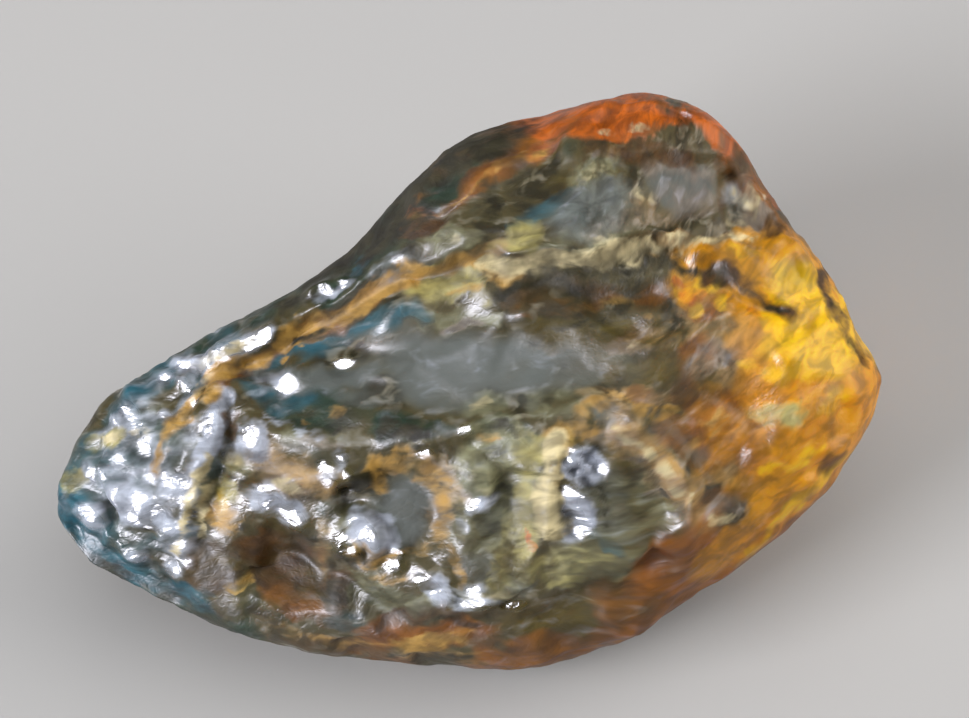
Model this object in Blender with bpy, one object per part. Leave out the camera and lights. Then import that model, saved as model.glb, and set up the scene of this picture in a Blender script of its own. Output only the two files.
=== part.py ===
"""A rough nugget of blue amber, resting on a table: one solid, in metres, +Z up.

The nugget is laid out in millimetres on its broad face. On the face, a runs along its length from
the thin blue tip to the thick honey end, b runs up it, and n stands out of it. The whole nugget is
then leant back and turned, so that its length lies along +X, and its underside is cut flat where
it rests. The origin is at the middle of the space that it fills, on the table.
"""

import itertools
import math

import bmesh
import bpy
import numpy as np
from mathutils import Matrix, Vector

MM = 0.001

# ---------------------------------------------------------------- sizes, in millimetres and degrees

# The rim of the broad face, from the blue tip over the top to the honey end and back below.
OUTLINE = [
    (-16.1, -5.1), (-15.8, -3.2), (-14.6, -0.9), (-12.6, 0.5), (-10.3, 2.0), (-7.3, 3.5),
    (-4.8, 5.3), (-2.7, 7.5), (-0.8, 9.3), (1.5, 10.1), (4.0, 10.8), (6.2, 11.1),
    (8.3, 10.6), (9.7, 9.4), (10.8, 7.7), (12.3, 5.6), (13.8, 3.6), (14.4, 2.2),
    (15.2, 0.6), (15.0, -0.9), (14.0, -2.9), (12.3, -4.9), (10.1, -6.7), (7.8, -8.2),
    (5.4, -9.8), (1.9, -10.8), (-1.5, -10.7), (-5.0, -10.4), (-8.7, -9.6), (-12.2, -8.2),
    (-14.9, -6.7),
]
LENGTHWAYS = 1.4  # how much more of the surface's points go to the two ends
FACE_RISE = 6.0  # how far the broad face swells out of its rim
UNDER_DEPTH = 6.8  # how far the underside swells the other way
TIP_SHARE = 0.5  # the swell at the thin tip, as a share of the whole
TAPER_FROM, TAPER_TO = -15.0, 0.0  # where along a the swell grows from its tip share to the whole
SQUARENESS = 2.5  # 2 is an ellipsoid, and more is fuller, with steeper flanks
FACE_LEAN = 28.0  # the broad face leans this far from level, towards the front
FACE_TURN = -17.0  # and is turned this far about the vertical, which puts its length along +X
FACE_CENTRE = (0.987, 0.83, 7.1)  # where the face's own origin lies in the part's frame

TRIANGLES = 9000
SPHERE_STEPS = 8  # an icosphere of 327680 triangles, before it is thinned out

# ---------------------------------------------------------------- relief of the broad face

# (path, drop, half-width of the step, how far below the step the drop is felt)
LEDGES = [
    (
        [(-11.4, 0.2), (-10.1, 0.4), (-9.2, 1.1), (-8.0, 1.6), (-6.9, 2.4), (-5.7, 2.9),
         (-3.6, 4.0), (-2.3, 4.3), (-0.8, 4.9), (0.4, 4.9), (1.1, 4.5), (2.7, 4.7),
         (4.2, 4.8), (5.4, 5.2), (6.7, 5.2), (8.0, 5.2), (9.6, 5.4)],
        1.1, 0.4, 2.6,
    ),
    (
        [(-9.6, -4.6), (-8.4, -5.0), (-6.9, -5.6), (-5.6, -6.7), (-4.4, -7.4), (-2.7, -8.3),
         (-1.9, -8.6), (-0.8, -8.4), (0.8, -8.7), (2.3, -8.4), (3.8, -7.3), (5.4, -6.7),
         (6.9, -6.3), (8.4, -5.6)],
        0.9, 0.4, 2.0,
    ),
    (
        [(-16.0, -4.6), (-15.3, -5.2), (-14.6, -5.7), (-13.4, -6.4), (-12.4, -6.8),
         (-11.6, -7.3), (-10.4, -7.6)],
        0.9, 0.3, 1.5,
    ),
    ([(4.6, 8.0), (6.4, 8.4), (7.6, 8.3), (9.2, 8.5), (10.2, 7.4)], 0.6, 0.35, 1.5),
    ([(-0.6, 9.2), (1.5, 9.3), (4.0, 10.0), (6.6, 10.3), (8.6, 9.9)], 0.5, 0.4, 1.6),
]

# (path, height, half-width)
RIDGES = [
    ([(-9.8, -0.4), (-8.0, -1.5), (-6.1, -2.0), (-5.0, -2.5), (-3.8, -2.1), (-1.9, -1.7),
      (1.5, -1.1), (4.6, -1.0), (6.5, -1.0)], 0.5, 0.55),
    ([(3.1, -1.5), (2.8, -2.5), (2.6, -3.6), (2.5, -4.8), (2.3, -6.4)], 0.6, 0.5),
    ([(4.6, -1.1), (6.1, -1.9), (7.1, -2.9), (7.7, -4.0), (8.1, -5.8)], 0.75, 0.6),
    ([(-2.6, -2.6), (-1.7, -3.3), (-1.3, -4.2), (-1.4, -5.9), (-1.5, -6.9)], 0.45, 0.45),
    ([(-9.8, -0.7), (-10.0, -1.5), (-10.5, -3.1), (-10.7, -4.4), (-11.2, -6.4)], 0.5, 0.4),
    ([(-10.7, -0.3), (-11.2, -1.7), (-11.6, -2.7), (-12.2, -3.4)], 0.4, 0.45),
    ([(-8.9, -4.3), (-7.4, -3.3), (-5.7, -3.0), (-4.4, -3.4), (-3.7, -4.4)], 0.5, 0.5),
    ([(-5.0, -4.8), (-3.8, -5.4), (-2.7, -6.2), (-1.6, -7.0)], 0.4, 0.45),
    ([(-2.7, 6.5), (-0.4, 7.5), (0.4, 8.2), (1.7, 9.2), (3.1, 10.0)], 0.45, 0.45),
    ([(-1.5, 5.6), (1.5, 6.1), (3.1, 6.5), (4.6, 7.4)], 0.4, 0.5),
    ([(10.8, 0.8), (12.3, 1.6), (13.8, 2.3)], 0.25, 0.5),
    ([(11.4, -1.6), (12.8, -0.6), (14.2, 0.0)], 0.25, 0.5),
]

# (path, depth, half-width)
GROOVES = [
    ([(-9.1, -0.9), (-9.4, -1.9), (-9.8, -3.2), (-10.3, -5.2)], 0.4, 0.45),
    ([(4.0, -1.9), (4.2, -3.0), (4.4, -4.2), (4.2, -5.6)], 0.45, 0.45),
    ([(9.1, 8.1), (9.3, 7.0), (9.6, 5.9)], 0.5, 0.4),
    ([(13.4, 4.0), (13.7, 2.9), (14.0, 1.9), (14.5, 1.0)], 0.4, 0.4),
    ([(5.0, 11.3), (4.9, 10.2), (4.4, 9.2)], 0.4, 0.4),
    ([(7.5, 11.2), (7.4, 10.2), (7.9, 9.3)], 0.4, 0.4),
    ([(8.0, 4.5), (9.0, 4.3), (9.8, 3.4), (11.5, 2.4)], 0.45, 0.4),
    ([(1.4, 3.7), (4.2, 3.3), (7.2, 3.4)], 0.35, 0.4),
    ([(-4.6, -3.6), (-4.4, -4.4), (-5.2, -4.4)], 0.45, 0.45),
]

# (centre, half-length, half-width, tilt in degrees, depth)
HOLLOWS = [
    ((-1.4, 0.7), 7.0, 2.3, -1.0, 0.95),
    ((-7.0, -6.9), 2.8, 1.7, -12.0, 0.8),
    ((6.1, -4.0), 1.5, 1.9, 25.0, 0.6),
    ((-2.6, -4.8), 1.1, 1.5, 0.0, 0.55),
    ((0.9, -4.6), 1.3, 2.4, 8.0, 0.5),
    ((7.3, 7.0), 1.6, 1.2, 0.0, 0.4),
    ((2.9, 8.2), 1.7, 1.1, 35.0, 0.4),
    ((9.6, -1.0), 2.2, 1.6, 35.0, 0.35),
    ((-13.6, -5.0), 1.0, 0.7, -35.0, 0.25),
    ((10.2, 6.2), 1.3, 2.0, 35.0, 0.3),
]

# Rounded knobs: (a, b, radius, height).
KNOBS = [
    (-14.9, -4.9, 0.8, 0.4), (-14.5, -3.2, 0.7, 0.3), (-13.6, -1.3, 0.7, 0.3),
    (-13.0, -4.2, 0.8, 0.4), (-11.4, -3.8, 0.7, 0.35), (-11.8, -5.3, 0.7, 0.35),
    (-13.0, -6.2, 0.6, 0.3), (-11.4, -6.9, 0.7, 0.3), (-11.0, -0.2, 0.7, 0.3),
    (-9.7, 1.1, 0.8, 0.4), (-8.0, 2.1, 0.6, 0.3), (-6.2, 3.5, 0.6, 0.3),
    (-4.9, 4.1, 0.6, 0.3), (-8.6, -1.7, 0.7, 0.4), (-7.5, -4.5, 0.9, 0.45),
    (-5.5, -3.1, 0.8, 0.4), (-4.5, -5.2, 0.8, 0.4), (-4.9, -6.0, 0.6, 0.3),
    (-3.1, -6.4, 0.6, 0.3), (-1.8, -7.4, 0.9, 0.45), (0.0, -8.2, 0.7, 0.35),
    (-0.4, -5.3, 0.6, 0.35), (-0.2, -4.2, 0.7, 0.4), (-0.4, -1.7, 0.6, 0.3),
    (3.5, -2.5, 0.8, 0.45), (3.6, -4.1, 0.8, 0.45), (-2.0, -2.5, 0.6, 0.3),
    (12.3, -3.9, 0.8, 0.3), (13.4, -2.5, 0.8, 0.3), (10.3, -2.9, 0.8, 0.3),
    (1.9, 2.6, 0.7, 0.25), (-7.2, 0.3, 0.7, 0.25), (6.3, 2.6, 0.9, 0.3),
]
WANDER_SIZE, WANDER = 1.7, 0.35  # how the relief's lines stray from their paths

# ---------------------------------------------------------------- chips and lumps all round

# Shell-shaped chips on the flanks and the underside: (centre, radius, depth).
CHIPS = [
    ((-3.5, 3.0, -6.4), 4.6, 1.1),
    ((6.5, 5.0, -6.4), 4.6, 1.1),
    ((12.0, 2.0, -5.4), 4.0, 1.0),
    ((-10.5, -2.2, -4.8), 3.6, 0.8),
    ((9.0, -5.0, -5.6), 4.0, 0.9),
    ((0.5, 8.6, -5.0), 3.8, 0.9),
    ((8.5, 9.0, -3.6), 2.8, 0.6),
    ((-7.5, -7.0, -4.6), 3.0, 0.6),
]
LUMP_SIZE, LUMP_HEIGHT = 1.3, 0.3
BREAK_SIZE, BREAK_HEIGHT = 2.6, 0.75  # flat breaks, which tilt each its own way
SWELL_SIZE, SWELL_HEIGHT = 5.0, 0.4
POOL_STILLNESS = 0.6  # how much flatter the breaks are in the pool than elsewhere
RIM_STILLNESS = 0.75  # how much less the swell and breaks move the rim than the rest
CORE_ENDS = (-9.5, -2.6), (9.5, 0.6)  # the line inside the nugget that lumps stand out from

AMBER_COLOUR = (0.36, 0.21, 0.06, 1.0)
AMBER_ROUGHNESS = 0.16
AMBER_IOR = 1.54


# ---------------------------------------------------------------- curves and noise


def smoothstep(low, high, value):
    """0 below low, 1 above high, and a smooth rise between them."""
    t = np.clip((value - low) / (high - low), 0.0, 1.0)
    return t * t * (3.0 - 2.0 * t)


def closed_curve(corners, steps=24):
    """Points along the smooth closed curve through the corners, by the Catmull-Rom rule."""
    here = np.array(corners)
    before, after, beyond = np.roll(here, 1, 0), np.roll(here, -1, 0), np.roll(here, -2, 0)
    t = np.linspace(0.0, 1.0, steps, endpoint=False)[:, None, None]
    curve = here + 0.5 * (
        (after - before) * t
        + (2 * before - 5 * here + 4 * after - beyond) * t**2
        + (3 * here - before - 3 * after + beyond) * t**3
    )
    return curve.transpose(1, 0, 2).reshape(-1, 2)


def rim_reach(angle):
    """How far the rim of the face lies from its centre at each angle."""
    rim = closed_curve(OUTLINE)
    angles = np.arctan2(rim[:, 1], rim[:, 0])
    return np.interp(angle, angles, np.hypot(rim[:, 0], rim[:, 1]), period=2 * math.pi)


def along_path(places, path):
    """For each place: its distance from the path, its side (1 on the left), and its share of the way."""
    corners = np.array(path)
    lengths = np.linalg.norm(np.diff(corners, axis=0), axis=1)
    started = np.concatenate([[0.0], np.cumsum(lengths)])
    distance = np.full(len(places), np.inf)
    side, share = np.ones(len(places)), np.zeros(len(places))
    for k, (start, end) in enumerate(itertools.pairwise(corners)):
        way = end - start
        t = np.clip((places - start) @ way / (way @ way), 0.0, 1.0)
        gap = places - start - t[:, None] * way
        reach = np.hypot(gap[:, 0], gap[:, 1])
        nearer = reach < distance
        distance[nearer] = reach[nearer]
        side[nearer] = np.where(way[0] * gap[:, 1] - way[1] * gap[:, 0] >= 0, 1.0, -1.0)[nearer]
        share[nearer] = ((started[k] + t * lengths[k]) / started[-1])[nearer]
    return distance, side, share


def hashed(cells, seed):
    """A number from 0 to 1 for each whole-number cell, which looks random and never changes."""
    mixed = cells[:, 0] * 73856093 ^ cells[:, 1] * 19349663 ^ cells[:, 2] * 83492791 ^ seed * 40503
    for _ in range(2):
        mixed = ((mixed ^ (mixed >> 15)) * 2246822519) & 0xFFFFFFFF
    return (mixed ^ (mixed >> 13)) / float(0xFFFFFFFF)


def noise(places, seed):
    """Smooth noise of about -1 to 1: a random slope at each cell corner, blended between corners."""
    base = np.floor(places).astype(np.int64)
    inside = places - base
    fade = inside**3 * (inside * (inside * 6.0 - 15.0) + 10.0)
    total = np.zeros(len(places))
    for corner in itertools.product((0, 1), repeat=3):
        at = base + corner
        slopes = np.stack([hashed(at, seed + k) * 2.0 - 1.0 for k in range(3)], axis=1)
        weight = np.prod(np.where(corner, fade, 1.0 - fade), axis=1)
        total += weight * np.sum(slopes * (inside - corner), axis=1)
    return total * 1.5


def cells(places, seed):
    """Two patterns from one scatter of cell hearts.

    Lumps are 1 at each heart, and fall off with the square of the distance. Breaks give each cell a
    plane with its own slope, and each place takes the planes near it, the nearest counting most.
    """
    base = np.floor(places).astype(np.int64)
    nearest = np.full(len(places), np.inf)
    tilted, weights = np.zeros(len(places)), np.zeros(len(places))
    for step in itertools.product((-1, 0, 1), repeat=3):
        cell = base + step
        heart = cell + np.stack([hashed(cell, seed + k) for k in range(3)], axis=1)
        slopes = np.stack([hashed(cell, seed + 3 + k) - 0.5 for k in range(3)], axis=1)
        apart = np.sum((places - heart) ** 2, axis=1)
        nearest = np.minimum(nearest, apart)
        weight = np.exp(-14.0 * apart)
        tilted += weight * np.sum(slopes * (places - heart), axis=1)
        weights += weight
    return np.clip(1.0 - nearest, 0.0, 1.0), tilted / (weights + 1e-12)


# ---------------------------------------------------------------- the nugget's shape


def body(directions):
    """The bare pebble: each direction from its middle goes out to the rim's shape and the swell."""
    x, y, z = directions.T
    level = np.hypot(x, y)
    fullness = (level**SQUARENESS + np.abs(z) ** SQUARENESS) ** (-1.0 / SQUARENESS)
    angle = np.arctan2(y, LENGTHWAYS * x)
    out = rim_reach(angle) * level * fullness
    a, b = out * np.cos(angle), out * np.sin(angle)
    lift = z * fullness
    swell = TIP_SHARE + (1.0 - TIP_SHARE) * smoothstep(TAPER_FROM, TAPER_TO, a)
    n = lift * swell * np.where(z > 0, FACE_RISE, UNDER_DEPTH)
    return np.stack([a, b, n], axis=1), lift


def wandered(points):
    """The (a, b) of each point, moved about a little, so that lines drawn there look broken."""
    strays = [noise(points / WANDER_SIZE, 51 + k) for k in range(2)]
    return points[:, :2] + WANDER * np.stack(strays, axis=1)


def middle_of(share):
    """1 along the middle of a path, and down to 0 at its two ends."""
    return smoothstep(0.0, 0.15, share) * smoothstep(1.0, 0.85, share)


def face_relief(places):
    """How far the ledges, ridges, grooves, hollows and knobs raise the face at each (a, b)."""
    rise = np.zeros(len(places))
    for path, drop, width, felt in LEDGES:
        distance, side, share = along_path(places, path)
        below = smoothstep(-width, width, -side * distance)
        rise -= drop * middle_of(share) * below * np.exp(-((distance / felt) ** 2))
    for path, height, width in RIDGES:
        distance, _, share = along_path(places, path)
        rise += height * middle_of(share) * np.exp(-((distance / width) ** 2))
    for path, depth, width in GROOVES:
        distance, _, share = along_path(places, path)
        rise -= depth * middle_of(share) * np.exp(-((distance / width) ** 2))
    for centre, half_length, half_width, tilt, depth in HOLLOWS:
        turn = math.radians(tilt)
        a, b = (places - centre).T
        along = (a * math.cos(turn) + b * math.sin(turn)) / half_length
        across = (b * math.cos(turn) - a * math.sin(turn)) / half_width
        rise -= depth * np.clip(1.0 - along**2 - across**2, 0.0, 1.0) ** 1.2
    for a, b, radius, height in KNOBS:
        spread = np.sum((places - (a, b)) ** 2, axis=1) / radius**2
        rise += height * np.clip(1.0 - spread, 0.0, 1.0) ** 1.5
    return rise


def lump_share(points):
    """Where the skin is lumpy: 1 over the blue third and along the lower crest, 0 on the dome."""
    a, b, n = points.T
    blue_third = smoothstep(-7.5, -10.0, a)
    lower_crest = smoothstep(7.0, 4.0, a) * smoothstep(-1.5, -3.0, b) * smoothstep(-8.5, -7.0, b)
    return np.maximum(blue_third, 0.6 * lower_crest) * smoothstep(-1.0, 1.0, n)


def in_pool(points):
    """1 at the middle of the smooth pool, which is the first of the hollows, and 0 outside it."""
    (a, b), half_length, half_width, _, _ = HOLLOWS[0]
    spread = ((points[:, 0] - a) / half_length) ** 2 + ((points[:, 1] - b) / half_width) ** 2
    return np.clip(1.0 - spread, 0.0, 1.0) * (points[:, 2] > 0)


def outward(points):
    """The direction from the core line out to each point."""
    start, end = (np.array([*corner, 0.0]) for corner in CORE_ENDS)
    way = end - start
    t = np.clip((points - start) @ way / (way @ way), 0.0, 1.0)
    out = points - start - t[:, None] * way
    return out / np.linalg.norm(out, axis=1, keepdims=True)


def shaped(directions):
    """The nugget's skin, in millimetres on its face, for unit directions from its middle."""
    points, lift = body(directions)
    inwards = np.zeros(len(points))
    for centre, radius, depth in CHIPS:
        spread = np.sum((points - centre) ** 2, axis=1) / radius**2
        inwards += depth * np.clip(1.0 - spread, 0.0, 1.0) ** 1.2
    _, breaks = cells(points / BREAK_SIZE, 71)
    whole = 1.0 - POOL_STILLNESS * in_pool(points)
    rise = SWELL_HEIGHT * noise(points / SWELL_SIZE, 11) + BREAK_HEIGHT * breaks * whole
    rise *= 1.0 - RIM_STILLNESS * np.exp(-((lift / 0.3) ** 2))
    knobbly, _ = cells(points / LUMP_SIZE, 37)
    rise += LUMP_HEIGHT * lump_share(points) * (knobbly - 0.7)
    out = outward(points) * (rise - inwards)[:, None]
    out[:, 2] += face_relief(wandered(points)) * smoothstep(0.0, 0.35, lift)
    return points + out


# ---------------------------------------------------------------- the solid


def amber():
    material = bpy.data.materials.new("amber")
    material.use_nodes = True
    shader = material.node_tree.nodes["Principled BSDF"]
    shader.inputs["Base Color"].default_value = AMBER_COLOUR
    shader.inputs["Roughness"].default_value = AMBER_ROUGHNESS
    shader.inputs["IOR"].default_value = AMBER_IOR
    shader.inputs["Metallic"].default_value = 0.0
    return material


def standing():
    """The turn and the place that set the face's frame down in the part's frame."""
    turn = Matrix.Rotation(math.radians(FACE_TURN), 4, "Z")
    lean = Matrix.Rotation(math.radians(FACE_LEAN), 4, "X")
    return Matrix.Translation(Vector(FACE_CENTRE) * MM) @ turn @ lean @ Matrix.Scale(MM, 4)


def shaped_mesh():
    """The whole skin at full fineness, in the part's frame, before it is thinned out and cut."""
    work = bmesh.new()
    bmesh.ops.create_icosphere(work, subdivisions=SPHERE_STEPS, radius=1.0)
    mesh = bpy.data.meshes.new("nugget_skin")
    work.to_mesh(mesh)
    work.free()
    flat = np.empty(len(mesh.vertices) * 3, dtype=np.float32)
    mesh.vertices.foreach_get("co", flat)
    directions = flat.reshape(-1, 3).astype(float)
    directions /= np.linalg.norm(directions, axis=1, keepdims=True)
    mesh.vertices.foreach_set("co", shaped(directions).ravel().astype(np.float32))
    mesh.transform(standing())
    return mesh


def thinned(mesh):
    """A copy of the mesh with about TRIANGLES triangles, which keeps its ridges and ledges."""
    holder = bpy.data.objects.new("nugget_skin", mesh)
    bpy.context.scene.collection.objects.link(holder)
    thin = holder.modifiers.new("thin", "DECIMATE")
    thin.ratio = TRIANGLES / len(mesh.polygons)
    graph = bpy.context.evaluated_depsgraph_get()
    made = bpy.data.meshes.new_from_object(holder.evaluated_get(graph))
    bpy.data.objects.remove(holder)
    return made


def cut_flat(mesh):
    """Takes off what lies below the table and closes the cut with one flat face."""
    work = bmesh.new()
    work.from_mesh(mesh)
    everything = [*work.verts, *work.edges, *work.faces]
    cut = bmesh.ops.bisect_plane(
        work, geom=everything, dist=1e-7, plane_co=(0, 0, 0), plane_no=(0, 0, 1), clear_inner=True
    )
    edges = [piece for piece in cut["geom_cut"] if isinstance(piece, bmesh.types.BMEdge)]
    bmesh.ops.edgenet_fill(work, edges=edges)
    bmesh.ops.recalc_face_normals(work, faces=work.faces)
    work.to_mesh(mesh)
    work.free()


def centred(mesh):
    """Slides the mesh along the table until the space that it fills is about the origin."""
    flat = np.empty(len(mesh.vertices) * 3, dtype=np.float32)
    mesh.vertices.foreach_get("co", flat)
    places = flat.reshape(-1, 3)
    middle = (places.min(axis=0) + places.max(axis=0)) / 2
    mesh.transform(Matrix.Translation((-middle[0], -middle[1], 0.0)))


def main():
    for thing in list(bpy.data.objects):
        bpy.data.objects.remove(thing)
    parts = bpy.data.collections.new("rough_blue_amber")
    bpy.context.scene.collection.children.link(parts)
    mesh = thinned(shaped_mesh())
    cut_flat(mesh)
    centred(mesh)
    mesh.materials.append(amber())
    mesh.shade_smooth()
    mesh.set_sharp_from_angle(angle=math.radians(50))
    parts.objects.link(bpy.data.objects.new("amber_nugget", mesh))


main()
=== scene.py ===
"""Dresses the rough nugget of blue amber with its full relief, its crust and its colours.

The nugget's shape is worked out in millimetres on its broad face, where a runs along it from the
blue tip to the honey end, b runs up it and n stands out of it. The face is then leant back and
turned into the part's own frame, in metres with +Z up, as the solids are. A pale floor, the lamps
and the camera come with it.
"""

import itertools
import math

import bpy
import numpy as np
from mathutils import Matrix, Vector


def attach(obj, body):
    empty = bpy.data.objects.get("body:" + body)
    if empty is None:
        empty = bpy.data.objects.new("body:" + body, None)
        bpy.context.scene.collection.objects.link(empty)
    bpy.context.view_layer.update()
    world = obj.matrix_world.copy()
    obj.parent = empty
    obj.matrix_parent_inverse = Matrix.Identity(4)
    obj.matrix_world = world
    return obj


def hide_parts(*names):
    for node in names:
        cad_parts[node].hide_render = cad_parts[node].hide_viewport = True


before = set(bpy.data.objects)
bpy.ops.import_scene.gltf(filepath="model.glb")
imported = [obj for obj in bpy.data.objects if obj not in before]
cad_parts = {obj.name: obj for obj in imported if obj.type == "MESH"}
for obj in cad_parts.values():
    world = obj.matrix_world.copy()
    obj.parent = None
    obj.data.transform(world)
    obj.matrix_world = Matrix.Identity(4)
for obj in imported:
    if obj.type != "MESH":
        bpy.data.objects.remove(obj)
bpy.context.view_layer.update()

MM = 0.001

# -------------------------------------------------------- sizes, in millimetres and degrees

# The rim of the broad face, from the blue tip over the top to the honey end and back below.
OUTLINE = [
    (-16.1, -5.1), (-15.8, -3.2), (-14.6, -0.9), (-12.6, 0.5), (-10.3, 2.0), (-7.3, 3.5),
    (-4.8, 5.3), (-2.7, 7.5), (-0.8, 9.3), (1.5, 10.1), (4.0, 10.8), (6.2, 11.1),
    (8.3, 10.6), (9.7, 9.4), (10.8, 7.7), (12.3, 5.6), (13.8, 3.6), (14.4, 2.2),
    (15.2, 0.6), (15.0, -0.9), (14.0, -2.9), (12.3, -4.9), (10.1, -6.7), (7.8, -8.2),
    (5.4, -9.8), (1.9, -10.8), (-1.5, -10.7), (-5.0, -10.4), (-8.7, -9.6), (-12.2, -8.2),
    (-14.9, -6.7),
]
LENGTHWAYS = 1.4  # how much more of the surface's points go to the two ends
FACE_RISE = 6.0  # how far the broad face swells out of its rim
UNDER_DEPTH = 6.8  # how far the underside swells the other way
TIP_SHARE = 0.5  # the swell at the thin tip, as a share of the whole
TAPER_FROM, TAPER_TO = -15.0, 0.0  # where along a the swell grows from its tip share to the whole
SQUARENESS = 2.5  # 2 is an ellipsoid, and more is fuller, with steeper flanks
FACE_LEAN = 28.0  # the broad face leans this far from level, towards the front
FACE_TURN = -17.0  # and is turned this far about the vertical, which puts its length along +X
FACE_CENTRE = (0.987, 0.83, 7.1)  # where the face's own origin lies in the part's frame

GRID_STEPS = 126  # squares along each edge of the cube that the surface's points are spread on
FACE_SHARE = 0.4  # how far the points crowd towards the face: 0 is evenly, and 1 is all of them

# -------------------------------------------------------- relief of the broad face

# (path, drop, half-width of the step, how far below the step the drop is felt)
LEDGES = [
    (
        [(-11.4, 0.2), (-10.1, 0.4), (-9.2, 1.1), (-8.0, 1.6), (-6.9, 2.4), (-5.7, 2.9),
         (-3.6, 4.0), (-2.3, 4.3), (-0.8, 4.9), (0.4, 4.9), (1.1, 4.5), (2.7, 4.7),
         (4.2, 4.8), (5.4, 5.2), (6.7, 5.2), (8.0, 5.2), (9.6, 5.4)],
        1.1, 0.4, 2.6,
    ),
    (
        [(-9.6, -4.6), (-8.4, -5.0), (-6.9, -5.6), (-5.6, -6.7), (-4.4, -7.4), (-2.7, -8.3),
         (-1.9, -8.6), (-0.8, -8.4), (0.8, -8.7), (2.3, -8.4), (3.8, -7.3), (5.4, -6.7),
         (6.9, -6.3), (8.4, -5.6)],
        0.9, 0.4, 2.0,
    ),
    (
        [(-16.0, -4.6), (-15.3, -5.2), (-14.6, -5.7), (-13.4, -6.4), (-12.4, -6.8),
         (-11.6, -7.3), (-10.4, -7.6)],
        0.9, 0.3, 1.5,
    ),
    ([(4.6, 8.0), (6.4, 8.4), (7.6, 8.3), (9.2, 8.5), (10.2, 7.4)], 0.6, 0.35, 1.5),
    ([(-0.6, 9.2), (1.5, 9.3), (4.0, 10.0), (6.6, 10.3), (8.6, 9.9)], 0.5, 0.4, 1.6),
]

# Ridges, and grooves, whose height is below 0: (path, height, half-width).
RIDGES = [
    ([(-9.8, -0.4), (-8.0, -1.5), (-6.1, -2.0), (-5.0, -2.5), (-3.8, -2.1), (-1.9, -1.7),
      (1.5, -1.1), (4.6, -1.0), (6.5, -1.0)], 0.5, 0.55),
    ([(3.1, -1.5), (2.8, -2.5), (2.6, -3.6), (2.5, -4.8), (2.3, -6.4)], 0.6, 0.5),
    ([(4.6, -1.1), (6.1, -1.9), (7.1, -2.9), (7.7, -4.0), (8.1, -5.8)], 0.75, 0.6),
    ([(-2.6, -2.6), (-1.7, -3.3), (-1.3, -4.2), (-1.4, -5.9), (-1.5, -6.9)], 0.45, 0.45),
    ([(-9.8, -0.7), (-10.0, -1.5), (-10.5, -3.1), (-10.7, -4.4), (-11.2, -6.4)], 0.5, 0.4),
    ([(-10.7, -0.3), (-11.2, -1.7), (-11.6, -2.7), (-12.2, -3.4)], 0.4, 0.45),
    ([(-8.9, -4.3), (-7.4, -3.3), (-5.7, -3.0), (-4.4, -3.4), (-3.7, -4.4)], 0.5, 0.5),
    ([(-5.0, -4.8), (-3.8, -5.4), (-2.7, -6.2), (-1.6, -7.0)], 0.4, 0.45),
    ([(-2.7, 6.5), (-0.4, 7.5), (0.4, 8.2), (1.7, 9.2), (3.1, 10.0)], 0.45, 0.45),
    ([(-1.5, 5.6), (1.5, 6.1), (3.1, 6.5), (4.6, 7.4)], 0.4, 0.5),
    ([(10.8, 0.8), (12.3, 1.6), (13.8, 2.3)], 0.25, 0.5),
    ([(11.4, -1.6), (12.8, -0.6), (14.2, 0.0)], 0.25, 0.5),
    ([(-9.1, -0.9), (-9.4, -1.9), (-9.8, -3.2), (-10.3, -5.2)], -0.4, 0.45),
    ([(4.0, -1.9), (4.2, -3.0), (4.4, -4.2), (4.2, -5.6)], -0.45, 0.45),
    ([(9.1, 8.1), (9.3, 7.0), (9.6, 5.9)], -0.5, 0.4),
    ([(13.4, 4.0), (13.7, 2.9), (14.0, 1.9), (14.5, 1.0)], -0.4, 0.4),
    ([(5.0, 11.3), (4.9, 10.2), (4.4, 9.2)], -0.4, 0.4),
    ([(7.5, 11.2), (7.4, 10.2), (7.9, 9.3)], -0.4, 0.4),
    ([(8.0, 4.5), (9.0, 4.3), (9.8, 3.4), (11.5, 2.4)], -0.45, 0.4),
    ([(1.4, 3.7), (4.2, 3.3), (7.2, 3.4)], -0.35, 0.4),
    ([(-4.6, -3.6), (-4.4, -4.4), (-5.2, -4.4)], -0.45, 0.45),
]

PATH_FADE = 0.15  # the share of a path's length over which its relief fades out at each end
BOWL_POWER, KNOB_POWER = 1.2, 1.5  # how pointed bowls and knobs are: 1 is a round bowl

# (centre, half-length, half-width, tilt in degrees, depth)
HOLLOWS = [
    ((-1.4, 0.7), 7.0, 2.3, -1.0, 0.95),
    ((-7.0, -6.9), 2.8, 1.7, -12.0, 0.8),
    ((6.1, -4.0), 1.5, 1.9, 25.0, 0.6),
    ((-2.6, -4.8), 1.1, 1.5, 0.0, 0.55),
    ((0.9, -4.6), 1.3, 2.4, 8.0, 0.5),
    ((7.3, 7.0), 1.6, 1.2, 0.0, 0.4),
    ((2.9, 8.2), 1.7, 1.1, 35.0, 0.4),
    ((9.6, -1.0), 2.2, 1.6, 35.0, 0.35),
    ((-13.6, -5.0), 1.0, 0.7, -35.0, 0.25),
    ((10.2, 6.2), 1.3, 2.0, 35.0, 0.3),
]
# The places in that list of the hollows with a finish of their own.
POOL, BROWN_HOLLOW, GREY_FACET, TOP_FACET = 0, 1, 3, 5

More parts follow.
